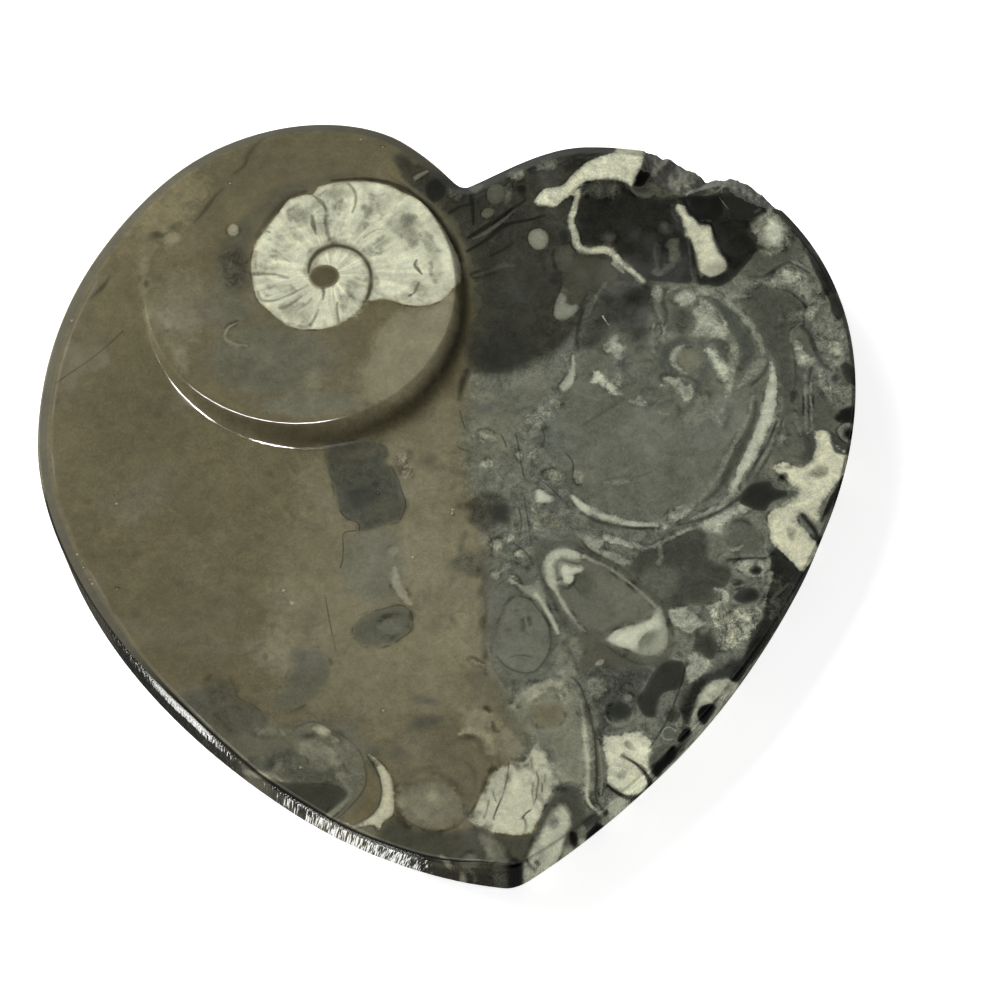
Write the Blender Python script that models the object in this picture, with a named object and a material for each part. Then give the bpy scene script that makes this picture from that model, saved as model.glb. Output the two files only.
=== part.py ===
"""A heart-shaped dish of polished fossil limestone, with a fossil ammonite in a raised round button.

The whole dish is one piece of stone. It is a sawn slab, ground to a heart outline, then hollowed
by a shallow spherical bowl. The grinder left one round button standing in the left lobe, around the
ammonite. The rim of the right lobe is chipped. +Z is up, +Y runs to the notch, -Y to the tip.
"""

import math

import bmesh
import bpy
import numpy as np
from mathutils import Vector
from mathutils.geometry import interpolate_bezier

MM = 0.001

# Driving dimensions, in millimetres
THICKNESS = 12.0
BOTTOM_CHAMFER = 0.8
RIM_BEVEL_WIDTH = 2.0
RIM_BEVEL_DROP = 1.3
BOWL_CENTRE = (2.0, -5.0)
BOWL_RADIUS = 54.0
BOWL_DEPTH = 3.4
BUTTON_CENTRE = (-19.7, 29.5)
BUTTON_RADIUS = 22.2
BUTTON_ROUND = 0.4
COVE_RUN = 5.8
COVE_DEPTH = 4.2
FOOT_INSET = 0.3

# How far the top edge overhangs the foot of the wall, at headings in degrees from the middle
OVERHANG_HEADINGS = (222.0, 230.0, 236.0, 244.0, 252.0, 262.0, 266.0, 268.5, 270.5)
OVERHANGS = (0.0, 0.35, 0.75, 0.8, 1.05, 1.0, 0.7, 0.25, 0.0)

# Heart outline, anticlockwise from the notch: x, y and heading in degrees
HEART_NODES = (
    (5.3, 45.1, 200),
    (3.4, 46.0, 129),
    (-3.2, 52.9, 140),
    (-16.0, 57.2, 178),
    (-31.2, 53.8, 206),
    (-43.8, 43.4, 230),
    (-52.1, 30.3, 246),
    (-57.0, 8.0, 269),
    (-49.2, -18.2, 300),
    (-25.6, -44.5, 322),
    (2.2, -57.3, 350),
    (6.0, -56.4, 29),
    (25.1, -43.0, 40),
    (46.5, -18.2, 57),
    (57.0, 14.0, 89),
    (48.0, 40.1, 131),
    (23.4, 50.4, 176),
)
DEGREES_PER_STEP = 4.0

# Chips broken out of the right lobe's rim: centre x, y, z, half-width, reach inwards, depth, turn
CHIPS = (
    (33.2, 49.6, 12.6, 3.1, 6.4, 3.4, -24.0),
    (37.4, 47.6, 12.6, 3.5, 6.9, 4.2, -30.0),
    (41.8, 44.7, 12.8, 3.7, 5.9, 4.4, -38.0),
    (46.3, 41.4, 12.4, 4.4, 3.9, 3.0, -48.0),
)

STONE_COLOUR = (0.085, 0.085, 0.072, 1.0)
STONE_ROUGHNESS = 0.16


def clear_scene():
    for item in list(bpy.data.objects):
        bpy.data.objects.remove(item, do_unlink=True)


def stone_material():
    """Polished dark fossil limestone."""
    material = bpy.data.materials.new("polished_fossil_limestone")
    material.use_nodes = True
    shader = material.node_tree.nodes["Principled BSDF"]
    shader.inputs["Base Color"].default_value = STONE_COLOUR
    shader.inputs["Roughness"].default_value = STONE_ROUGHNESS
    shader.inputs["Metallic"].default_value = 0.0
    return material


def heading_vector(degrees):
    return Vector((math.cos(math.radians(degrees)), math.sin(math.radians(degrees)), 0.0))


def heart_outline():
    """The heart as a closed chain of smooth spans, centred on its own box, in millimetres."""
    points = []
    for index, (x0, y0, heading0) in enumerate(HEART_NODES):
        x1, y1, heading1 = HEART_NODES[(index + 1) % len(HEART_NODES)]
        start = Vector((x0, y0, 0.0))
        end = Vector((x1, y1, 0.0))
        turn = abs((heading1 - heading0 + 180) % 360 - 180)
        handle = (end - start).length / 3.0
        steps = max(3, math.ceil(turn / DEGREES_PER_STEP))
        leave = start + heading_vector(heading0) * handle
        arrive = end - heading_vector(heading1) * handle
        points += interpolate_bezier(start, leave, arrive, end, steps + 1)[:-1]
    centre_x = (min(p.x for p in points) + max(p.x for p in points)) / 2
    centre_y = (min(p.y for p in points) + max(p.y for p in points)) / 2
    return [Vector((p.x - centre_x, p.y - centre_y, 0.0)) for p in points]


def overhang(point):
    """How far the top edge stands out beyond the heart, over the place on the foot."""
    heading = math.degrees(math.atan2(point.y, point.x)) % 360.0
    return float(np.interp(heading, OVERHANG_HEADINGS, OVERHANGS))


def inset_ring(outline, inset, overhang_share, height):
    """The outline moved inwards along its own normals, at a height, in metres."""
    ring = []
    for index, point in enumerate(outline):
        along = outline[(index + 1) % len(outline)] - outline[index - 1]
        inwards = Vector((-along.y, along.x, 0.0)).normalized()
        step = inset - overhang_share * overhang(point)
        ring.append((point + inwards * step + Vector((0.0, 0.0, height))) * MM)
    return ring


def slab_mesh():
    """The ground slab before hollowing: flat faces, a chamfer below and a soft bevel above."""
    outline = heart_outline()
    edge_profile = (
        (BOTTOM_CHAMFER + FOOT_INSET, 0.0, 0.0),
        (FOOT_INSET, 0.0, BOTTOM_CHAMFER),
        (0.0, 1.0, THICKNESS - RIM_BEVEL_DROP),
        (RIM_BEVEL_WIDTH * 0.3, 1.0, THICKNESS - RIM_BEVEL_DROP * 0.45),
        (RIM_BEVEL_WIDTH, 1.0, THICKNESS),
    )
    shape = bmesh.new()
    rings = []
    for inset, overhang_share, height in edge_profile:
        places = inset_ring(outline, inset, overhang_share, height)
        rings.append([shape.verts.new(point) for point in places])
    count = len(outline)
    for lower, upper in zip(rings, rings[1:]):
        for index in range(count):
            after = (index + 1) % count
            shape.faces.new((lower[index], lower[after], upper[after], upper[index]))
    shape.faces.new(list(reversed(rings[0])))
    shape.faces.new(rings[-1])
    return finish_mesh(shape, "heart_slab")


def finish_mesh(shape, name):
    bmesh.ops.recalc_face_normals(shape, faces=shape.faces)
    mesh = bpy.data.meshes.new(name)
    shape.to_mesh(mesh)
    shape.free()
    return mesh


def turned_object(name, profile, centre, steps):
    """A solid turned about a vertical axis. The profile runs from the axis below to the axis above."""
    shape = bmesh.new()
    verts = [shape.verts.new((radius * MM, 0.0, height * MM)) for radius, height in profile]
    edges = [shape.edges.new(pair) for pair in zip(verts, verts[1:])]
    bmesh.ops.spin(
        shape, geom=verts + edges, cent=(0, 0, 0), axis=(0, 0, 1),
        angle=math.tau, steps=steps, use_merge=True,
    )
    bmesh.ops.remove_doubles(shape, verts=shape.verts, dist=1e-6)
    turned = bpy.data.objects.new(name, finish_mesh(shape, name))
    turned.location = (centre[0] * MM, centre[1] * MM, 0.0)
    bpy.context.collection.objects.link(turned)
    return mark_as_cutter(turned)


def mark_as_cutter(item):
    item.hide_render = True
    item.display_type = "WIRE"
    return item


def cut(target, cutter):
    """Take the cutter away from the target, live."""
    boolean = target.modifiers.new("cut_" + cutter.name, "BOOLEAN")
    boolean.operation = "DIFFERENCE"
    boolean.solver = "EXACT"
    boolean.object = cutter


def make_button_guard():
    """What the grinder went round: the button, with a concave cove spreading to its foot."""
    above = THICKNESS + 3.0
    below = THICKNESS - COVE_DEPTH
    profile = [(0.0, below)]
    for step in range(6, -1, -1):
        t = step / 6
        drop = BUTTON_ROUND + (COVE_DEPTH - BUTTON_ROUND) * (1.0 - (1.0 - t) ** 2.4)
        profile.append((BUTTON_RADIUS + COVE_RUN * t, THICKNESS - drop))
    profile.append((BUTTON_RADIUS - BUTTON_ROUND, THICKNESS))
    profile.append((BUTTON_RADIUS - BUTTON_ROUND, above))
    profile.append((0.0, above))
    return turned_object("button_guard", profile, BUTTON_CENTRE, 96)


def make_bowl_cutter(button_guard):
    """A thin lens off a large sphere, which hollows the slab everywhere but at the button."""
    sphere_radius = (BOWL_RADIUS ** 2 + BOWL_DEPTH ** 2) / (2 * BOWL_DEPTH)
    sphere_height = THICKNESS - BOWL_DEPTH + sphere_radius
    reach = math.asin(BOWL_RADIUS / sphere_radius) * 1.12
    profile = []
    for step in range(10):
        angle = reach * step / 9
        profile.append((sphere_radius * math.sin(angle), sphere_height - sphere_radius * math.cos(angle)))
    profile.append((0.0, profile[-1][1]))
    lens = turned_object("bowl_cutter", profile, BOWL_CENTRE, 96)
    cut(lens, button_guard)
    return lens


def make_chip_cutters():
    """Rounded bites for the scooped breaks along the right lobe's rim."""
    cutters = []
    for number, (x, y, z, half_width, reach, depth, turn) in enumerate(CHIPS, 1):
        shape = bmesh.new()
        bmesh.ops.create_icosphere(shape, subdivisions=3, radius=1.0)
        bmesh.ops.scale(shape, verts=shape.verts, vec=(half_width * MM, reach * MM, depth * MM))
        bite = bpy.data.objects.new(f"chip_cutter_{number}", finish_mesh(shape, f"chip_cutter_{number}"))
        bite.location = (x * MM, y * MM, z * MM)
        bite.rotation_euler.z = math.radians(turn)
        bpy.context.collection.objects.link(bite)
        cutters.append(mark_as_cutter(bite))
    return cutters


def main():
    clear_scene()
    stone = bpy.data.objects.new("fossil_heart_dish", slab_mesh())
    bpy.context.collection.objects.link(stone)
    stone.data.materials.append(stone_material())
    stone.data.shade_smooth()
    stone.data.set_sharp_from_angle(angle=math.radians(28.0))
    cut(stone, make_bowl_cutter(make_button_guard()))
    for bite in make_chip_cutters():
        cut(stone, bite)


main()
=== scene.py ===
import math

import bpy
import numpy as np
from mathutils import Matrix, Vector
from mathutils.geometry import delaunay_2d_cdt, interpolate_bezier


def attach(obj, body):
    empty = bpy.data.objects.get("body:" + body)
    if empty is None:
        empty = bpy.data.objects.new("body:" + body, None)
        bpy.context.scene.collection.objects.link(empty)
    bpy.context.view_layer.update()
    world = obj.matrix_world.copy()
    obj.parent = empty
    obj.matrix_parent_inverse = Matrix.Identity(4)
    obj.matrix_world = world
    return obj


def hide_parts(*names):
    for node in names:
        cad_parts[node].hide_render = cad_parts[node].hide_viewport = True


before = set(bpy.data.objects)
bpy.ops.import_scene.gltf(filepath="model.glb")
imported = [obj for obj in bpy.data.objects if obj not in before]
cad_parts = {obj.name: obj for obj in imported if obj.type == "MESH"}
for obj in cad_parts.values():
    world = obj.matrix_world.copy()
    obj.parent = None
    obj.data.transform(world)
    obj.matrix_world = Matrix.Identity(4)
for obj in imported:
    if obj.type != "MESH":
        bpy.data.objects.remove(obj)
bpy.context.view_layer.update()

# %% [markdown]
# # A heart-shaped dish of polished fossil limestone
#
# The dish is one piece of dark limestone, full of sea shells and cut so that an ammonite lies
# in its left lobe. A stone worker sawed a slab, ground it to a heart, hollowed it with a shallow
# wheel and left a round button standing around the ammonite. Then the top was polished.
#
# The lesson builds the dish as one fine mesh. Its shape comes from a few formulas. Its fossils
# are drawn as curves in millimetres, and the mesh carries the distance to each curve, so that the
# shader can turn it into a crisp, slightly ragged edge. A painted picture would be quicker, but it
# would blur close to, and it could not follow the stone down its side walls.

MM = 0.001
STONE_NODE = "fossil_heart_dish"


# %% [markdown]
# ## Where the viewer stands
#
# The dish lies on a pale table, and the viewer looks down on it from the side of the heart's tip,
# about 65 degrees above the table. A camera could track an empty, but a fixed place and direction
# are easier to read and never drift. The camera is a little off centre, so its lens is shifted by
# a few hundredths instead of turned, which keeps the heart's two sides level.

# %% Camera
CAMERA_PLACE = Vector((-11.9, -148.9, 317.2)) * MM
CAMERA_TARGET = Vector((-1.0, -1.4, 0.0)) * MM
CAMERA_LENS = 89.5
CAMERA_SHIFT = (0.052, 0.010)
SENSOR_WIDTH = 36.0
NEAREST_SEEN = 0.01


def add_camera():
    lens = bpy.data.cameras.new("viewer")
    lens.lens = CAMERA_LENS
    lens.sensor_width = SENSOR_WIDTH
    lens.clip_start = NEAREST_SEEN
    lens.shift_x, lens.shift_y = CAMERA_SHIFT
    viewer = bpy.data.objects.new("viewer", lens)
    viewer.location = CAMERA_PLACE
    viewer.rotation_euler = (CAMERA_TARGET - CAMERA_PLACE).to_track_quat("-Z", "Y").to_euler()
    bpy.context.scene.collection.objects.link(viewer)
    bpy.context.scene.camera = viewer


add_camera()
distance = (CAMERA_TARGET - CAMERA_PLACE).length / MM
print(f"the camera stands {distance:.0f} mm away")

# %% [markdown]
# ## The heart's outline
#
# The worker cut the heart by eye, so its lobes differ: the left one is larger and stands higher.
# It could be a ring of many measured points. Seventeen places with a heading at each are enough,
# because a Bezier span between two of them is as smooth as a ground edge. The spans are then walked
# in equal short steps, so that the side wall can carry fine grinding marks. On the lower left the
# wall was ground at a slant, so there the top edge overhangs the foot by up to a millimetre.

# %% Places on the outline
HEART_NODES = (
    (5.3, 45.1, 200), (3.4, 46.0, 129), (-3.2, 52.9, 140), (-16.0, 57.2, 178), (-31.2, 53.8, 206),
    (-43.8, 43.4, 230), (-52.1, 30.3, 246), (-57.0, 8.0, 269), (-49.2, -18.2, 300),
    (-25.6, -44.5, 322), (2.2, -57.3, 350), (6.0, -56.4, 29), (25.1, -43.0, 40), (46.5, -18.2, 57),
    (57.0, 14.0, 89), (48.0, 40.1, 131), (23.4, 50.4, 176),
)
OVERHANG_HEADINGS = (222.0, 230.0, 236.0, 244.0, 252.0, 262.0, 266.0, 268.5, 270.5)
OVERHANGS = (0.0, 0.35, 0.75, 0.8, 1.05, 1.0, 0.7, 0.25, 0.0)
print(f"{len(HEART_NODES)} places, and an overhang of up to {max(OVERHANGS)} mm")

# %% Walk the outline
SPAN_STEPS = 120
WALL_STEP = 0.19
SAFE_INSET = 0.03


def heading_vector(degrees):
    angle = math.radians(degrees)
    return Vector((math.cos(angle), math.sin(angle), 0.0))


def walk_heart():
    """The outline in millimetres, anticlockwise, in equal steps, centred on its own box."""
    points = []
    for here, after in zip(HEART_NODES, HEART_NODES[1:] + HEART_NODES[:1]):
        start = Vector((here[0], here[1], 0.0))
        end = Vector((after[0], after[1], 0.0))
        handle = (end - start).length / 3.0
        leave = start + heading_vector(here[2]) * handle
        arrive = end - heading_vector(after[2]) * handle
        points += interpolate_bezier(start, leave, arrive, end, SPAN_STEPS)[:-1]
    path = np.array([(p.x, p.y) for p in points])
    path -= (path.min(0) + path.max(0)) / 2
    return even_steps(path, WALL_STEP, closed=True)


def even_steps(path, step, closed=False):
    """The same path, walked in equal steps of about the given length."""
    if closed:
        path = np.vstack([path, path[:1]])
    travelled = np.r_[0.0, np.cumsum(np.hypot(*np.diff(path, axis=0).T))]
    count = max(2, int(round(travelled[-1] / step)))
    stops = np.linspace(0.0, travelled[-1], count + 1)
    if closed:
        stops = stops[:-1]
    return np.column_stack([np.interp(stops, travelled, path[:, k]) for k in (0, 1)])


def inward_normals(path):
    along = np.roll(path, -1, 0) - np.roll(path, 1, 0)
    normals = np.column_stack([-along[:, 1], along[:, 0]])
    return normals / np.hypot(*normals.T)[:, None]


def headings(x, y):
    """Directions from the middle, in degrees anticlockwise from +X."""
    return np.degrees(np.arctan2(y, x)) % 360.0


HEART = walk_heart()
OVERHANG = np.interp(headings(*HEART.T), OVERHANG_HEADINGS, OVERHANGS)
HEART = HEART + inward_normals(HEART) * (SAFE_INSET - OVERHANG)[:, None]
HEART_NORMALS = inward_normals(HEART)
perimeter = np.hypot(*(np.roll(HEART, -1, 0) - HEART).T).sum()
print(f"the outline has {len(HEART)} steps and is {perimeter:.0f} mm long")

# %% [markdown]
# ## The polished face
#
# The face is a height for every place on it. The land is level at 12 mm. The bowl is a shallow
# cut from a large sphere. The button is what the wheel went round: a level disc, a small rounding
# at its rim, and a concave cove down to the bowl. A Boolean would leave hard seams between the
# three, so they are joined by smooth minimum and maximum, which round each seam as polishing
# does.

# %% Height of the polished face
THICKNESS = 12.0
BOWL_CENTRE = (2.0, -5.0)
BOWL_RADIUS = 54.0
BOWL_DEPTH = 3.4
BUTTON_CENTRE = (-19.7, 29.5)
BUTTON_RADIUS = 22.2
BUTTON_ROUND = 0.4
BUTTON_ARC = 0.98
COVE_RUN = 6.0
COVE_DEPTH = 4.2
COVE_BEND = 2.2
POLISHED_SEAM = 0.35
COVE_FOOT = 0.55


def soft_min(a, b, reach):
    share = np.clip(0.5 + 0.5 * (b - a) / reach, 0.0, 1.0)
    return b * (1 - share) + a * share - reach * share * (1 - share)


def soft_max(a, b, reach):
    return -soft_min(-a, -b, reach)


def bowl_height(x, y):
    sphere = (BOWL_RADIUS ** 2 + BOWL_DEPTH ** 2) / (2 * BOWL_DEPTH)
    away = np.hypot(x - BOWL_CENTRE[0], y - BOWL_CENTRE[1])
    return THICKNESS - BOWL_DEPTH + sphere - np.sqrt(sphere ** 2 - away ** 2)


def button_height(x, y):
    away = np.hypot(x - BUTTON_CENTRE[0], y - BUTTON_CENTRE[1])
    over = np.clip((away - BUTTON_RADIUS + BUTTON_ROUND) / BUTTON_ROUND, 0.0, 1.0)
    rounding = BUTTON_ROUND * (1.0 - np.sqrt(1.0 - BUTTON_ARC * over ** 2))
    down = np.clip((away - BUTTON_RADIUS) / COVE_RUN, 0.0, 1.0)
    cove = (COVE_DEPTH - BUTTON_ROUND) * (1.0 - (1.0 - down) ** COVE_BEND)
    return THICKNESS - rounding - cove


def face_height(x, y):
    dish = soft_min(np.full_like(x, THICKNESS), bowl_height(x, y), POLISHED_SEAM)
    return np.minimum(soft_max(dish, button_height(x, y), COVE_FOOT), THICKNESS)


middle = face_height(np.array([BOWL_CENTRE[0]]), np.array([BOWL_CENTRE[1]]))[0]
print(f"the bowl is {THICKNESS - middle:.1f} mm deep")

# %% [markdown]
# ## The rim
#
# The top edge was only just broken by the grindstone, except on the left, where it was ground to
# a bevel wide enough to see. A Bevel modifier has one width along a whole edge. Here the width
# and the drop of the bevel change with the heading from the middle.

# %% Rim bevel
RIM_HEADINGS = (0, 28, 42, 140, 160, 200, 222, 262, 272, 320, 360)
RIM_WIDTHS = (0.5, 0.9, 2.0, 2.0, 1.6, 1.4, 0.7, 0.6, 0.4, 0.35, 0.5)
RIM_DROPS = (0.4, 0.6, 1.3, 1.3, 1.0, 0.9, 0.6, 0.5, 0.3, 0.25, 0.4)
ABOVE_ALL = 99.0


def around_rim(x, y, values):
    """A value given at headings round the rim, for the rim nearest to each place."""
    return np.interp(headings(x, y), RIM_HEADINGS, values)


def rim_height(x, y, inset):
    """Height of the rim bevel at a distance in from the wall."""
    share = np.clip(inset / around_rim(x, y, RIM_WIDTHS), 0.0, 1.0)
    drop = around_rim(x, y, RIM_DROPS) * (1.0 - share) * (1.0 - 0.35 * share ** 3)
    return np.where(share < 1.0, face_height(x, y) - drop, ABOVE_ALL)


print("the bevel is up to", max(RIM_WIDTHS), "mm wide")

# %% [markdown]
# ## The broken rim
#
# A stretch of the right lobe's rim is broken: shell-shaped scoops, as glassy stone breaks, run into
# each other and leave a rough, sugary floor. A Boolean with rough blobs would do, but it would also
# break up the even mesh. Here the break is a drop and a reach at each heading, and crossing waves
# make its lumps.

# %% Floor of the break
BREAK_HEADINGS = (
    36.8, 37.8, 39.5, 41.2, 42.3, 44.0, 45.3, 46.2, 47.4, 48.5, 49.3, 50.3, 51.4, 52.6, 53.8, 54.8,
    56.0, 57.6,
)
BREAK_DROPS = (
    1.3, 1.8, 1.8, 1.6, 1.2, 1.5, 2.1, 3.4, 4.6, 5.9, 4.6, 4.3, 4.1, 3.6, 2.4, 2.8, 2.1, 1.5,
)
BREAK_REACHES = (
    0.3, 1.8, 2.8, 3.0, 3.2, 2.9, 3.4, 4.9, 6.1, 6.6, 6.7, 6.8, 6.8, 6.4, 5.3, 4.4, 2.9, 0.3,
)
BREAK_SHOULDER = 0.75
BREAK_LUMPS = 0.3
BREAK_CRUMBS = 0.1
ROUGH_OCTAVES = 5


def rough(x, y, seed):
    """A repeatable ragged height between about -1 and 1, from crossing waves."""
    total = np.zeros_like(x)
    for octave in range(ROUGH_OCTAVES):
        size = 0.9 * 1.9 ** octave
        turn = seed + 2.4 * octave
        across = x * math.cos(turn) + y * math.sin(turn)
        along = -x * math.sin(turn) + y * math.cos(turn)
        total += np.sin(size * across + 1.7 * np.sin(size * 0.8 * along + turn)) / 1.5 ** octave
    return total / 2.2


def chip_height(x, y, inset):
    """The broken floor of the rim, and far above the stone where the rim is whole."""
    heading = headings(x, y)
    ragged = 1.0 + 0.1 * rough(x * 0.8, y * 0.8, 1.0)
    share = inset / (np.interp(heading, BREAK_HEADINGS, BREAK_REACHES) * ragged)
    inwards = np.clip(1.0 - share, 0.0, 1.0)
    drop = np.interp(heading, BREAK_HEADINGS, BREAK_DROPS) * inwards ** BREAK_SHOULDER
    lumps = BREAK_LUMPS * rough(x * 1.3, y * 1.3, 2.0) + BREAK_CRUMBS * rough(x * 2.8, y * 2.8, 5.0)
    floor = THICKNESS - drop + lumps * np.clip(3.0 * (1.0 - share), 0.0, 1.0)
    broken = (heading > BREAK_HEADINGS[0]) & (heading < BREAK_HEADINGS[-1]) & (share < 1.0)
    return np.where(broken, floor, ABOVE_ALL)


print("the broken rim reaches down to", round(THICKNESS - max(BREAK_DROPS), 1), "mm")

# %% [markdown]
# ## Distances
#
# The bevel needs the distance to the outline, and every fossil below needs the distance to its
# own curve. Blender's proximity nodes would give the distance alone. This function also tells
# which step of the path is nearest and how far along it, so that a band can change its width.

# %% Distance to a path
def distance_to_path(x, y, path, closed=True):
    """Distance to a path, its nearest step's number, and how far along that step."""
    start = path
    end = np.roll(path, -1, 0)
    if not closed:
        start, end = path[:-1], path[1:]
    best = np.full(len(x), 1e9)
    which = np.zeros(len(x), int)
    part = np.zeros(len(x))
    for number, (a, b) in enumerate(zip(start, end)):
        run = b - a
        share = np.clip(((x - a[0]) * run[0] + (y - a[1]) * run[1]) / (run @ run + 1e-12), 0.0, 1.0)
        away = np.hypot(x - a[0] - share * run[0], y - a[1] - share * run[1])
        closer = away < best
        best = np.where(closer, away, best)
        which = np.where(closer, number, which)
        part = np.where(closer, share, part)
    return best, which, part


def inside_path(x, y, path):
    """Which places a closed path encloses."""
    crossed = np.zeros(len(x), bool)
    for a, b in zip(path, np.roll(path, -1, 0)):
        spans = (a[1] > y) != (b[1] > y)
        if spans.any():
            at = a[0] + (y - a[1]) * (b[0] - a[0]) / (b[1] - a[1] + 1e-15)
            crossed ^= spans & (x < at)
    return crossed


def stone_height(x, y):
    """The finished upper surface, and which places of it are broken."""
    inset, _, _ = distance_to_path(x, y, HEART[::6])
    face = np.minimum(face_height(x, y), rim_height(x, y, inset))
    chip = chip_height(x, y, inset)
    return np.minimum(face, chip), chip < face


button_top, _ = stone_height(np.array([BUTTON_CENTRE[0]]), np.array([BUTTON_CENTRE[1]]))
print(f"the button's top is {button_top[0]:.2f} mm above the table")

# %% [markdown]
# ## How the fossils are drawn
#
# Every fossil here is a slice through a shell, so it shows as a flat patch, a band or a hairline in
# the polished face. Each is drawn by a few places in millimetres, joined by a smooth curve. Patches
# lie in coats, as a painter lays them: a later coat covers an earlier one. A patch has a tone, from
# black at 0 to white at 1, a warmth, from grey-green at 0 to brown at 1, and a softness in
# millimetres for its edge.

# %% Curves and coats
COATS = ("bed", "cloud", "shell", "calcite", "ink", "inlay")
STEPS_PER_PLACE = 12
CURVE_STEP = 0.35
areas = []
hairlines = []


def smooth_curve(points, closed, step=CURVE_STEP):
    """A Catmull-Rom curve through the points, in even steps."""
    knots = np.array(points, float)
    if closed:
        knots = np.vstack([knots[-1:], knots, knots[:2]])
    else:
        knots = np.vstack([2 * knots[:1] - knots[1:2], knots, 2 * knots[-1:] - knots[-2:-1]])
    share = np.linspace(0.0, 1.0, STEPS_PER_PLACE + 1)[:-1, None]
    pieces = []
    for a, b, c, d in zip(knots, knots[1:], knots[2:], knots[3:]):
        bend = (2 * a - 5 * b + 4 * c - d) * share ** 2 + (3 * b - a - 3 * c + d) * share ** 3
        pieces.append(0.5 * (2 * b + (c - a) * share + bend))
    path = np.vstack(pieces)
    if not closed:
        path = np.vstack([path, knots[-2:-1]])
    return even_steps(path, step, closed)


print("coats, from the first to the last:", ", ".join(COATS))

# %% Kinds of marks
OVAL_PLACES = 10
HAIR_STEP = 0.3


def add_area(coat, tone, warmth, path, width, soft, grain):
    areas.append(dict(
        coat=coat, tone=tone, warmth=warmth, path=path, width=width, soft=soft, grain=grain))


def patch(coat, tone, warmth, points, soft=0.16, grain=0.3):
    """A closed area through the given places."""
    add_area(coat, tone, warmth, smooth_curve(points, closed=True), None, soft, grain)


def oval(coat, tone, warmth, centre, size, turn=0.0, **finish):
    """A closed area round a centre, with half-width and half-height, turned by degrees."""
    angle = math.radians(turn)
    ring = []
    for step in range(OVAL_PLACES):
        at = math.tau * step / OVAL_PLACES
        across, up = size[0] * math.cos(at), size[1] * math.sin(at)
        ring.append((centre[0] + across * math.cos(angle) - up * math.sin(angle),
                     centre[1] + across * math.sin(angle) + up * math.cos(angle)))
    patch(coat, tone, warmth, ring, **finish)


def band(coat, tone, warmth, points, widths, soft=0.14, grain=0.3):
    """A stroke along the given places, with its full width at each."""
    path = smooth_curve(points, closed=False)
    if np.isscalar(widths):
        widths = (widths, widths)
    spread = np.interp(np.linspace(0, 1, len(path)), np.linspace(0, 1, len(widths)), widths) / 2
    add_area(coat, tone, warmth, path, spread, soft, grain)


def lay(coat, warmth, soft, grain, *rows):
    """Marks of one finish: a tone and places for a patch, and its widths as well for a band."""
    for tone, points, *widths in rows:
        if widths:
            band(coat, tone, warmth, points, widths[0], soft=soft, grain=grain)
        else:
            patch(coat, tone, warmth, points, soft=soft, grain=grain)


def hairline(look, points, closed=False):
    """A thin line; look is its strength, dark if negative, and its half-width."""
    strength, half_width = look
    path = smooth_curve(points, closed, HAIR_STEP)
    hairlines.append(dict(path=path, strength=strength, half_width=half_width, closed=closed))


def tell(title):
    print(f"{title}: {len(areas)} areas and {len(hairlines)} hairlines so far")


tell("Before the first mark")

# %% [markdown]
# ## Beds of mud
#
# Before it was stone, the rock was lime mud that settled in pockets of different colour: brown on
# the left, tan in the middle, grey round the shells and nearly black in the upper right. The beds
# are the first coat, with edges a millimetre or more soft, and the clouds on them are softer still.

# %% Beds
patch("bed", 0.445, 0.72, [(-21, 3), (-21, -6), (-26, -15), (-25, -24), (-22, -33), (-12, -35),
    (3, -35), (4, -22), (3, -10), (1, 0), (4, 5), (0, 12), (-6, 8)], soft=2.2)
patch("bed", 0.405, 0.15, [(3, 15), (4, 20), (14, 24), (20, 30), (36, 34), (52, 36), (60, 20),
    (60, -20), (40, -34), (24, -50), (14, -58), (6, -50), (3, -30), (3, -10), (1, 2)], soft=1,
    grain=0.7)
patch("bed", 0.225, 0.3, [(4, 15.5), (8, 15), (12, 16.2), (15.5, 17.5), (19, 21), (24, 27),
    (40, 27), (56, 33), (56, 46), (40, 56), (18, 54), (3, 47), (-4.5, 51), (-3, 45), (2, 39),
    (4.5, 33), (5, 26), (3, 19)], soft=0.7, grain=0.6)
patch("bed", 0.385, 0.5, [(-36, -31), (-30, -33.5), (-24, -35), (-16, -36), (-13, -42), (-13, -52),
    (-24, -48), (-34, -39)], soft=1.2)
patch("bed", 0.385, 0.75, [(-12, -37), (-3, -37), (2, -41), (0, -47), (-3, -52), (-11, -51),
    (-12, -44)], soft=0.8)
patch("bed", 0.28, 0.45, [(-13.5, -51.4), (-11.5, -49.2), (-9.5, -50.8), (-8, -51.5), (-6, -51.9),
    (-3, -51.8), (-0.8, -51.3), (0.5, -52.2), (2.5, -52.8), (5, -53.1), (8, -53), (8, -60),
    (-10, -60), (-15, -54)], soft=0.25)
patch("bed", 0.36, 0.85, [(-40, 46), (-30, 57), (-16, 59), (-6, 56), (-4, 50), (-8, 48.4),
    (-20, 47), (-26, 46), (-33, 41), (-38, 43)], soft=1)
tell("Beds")

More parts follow.
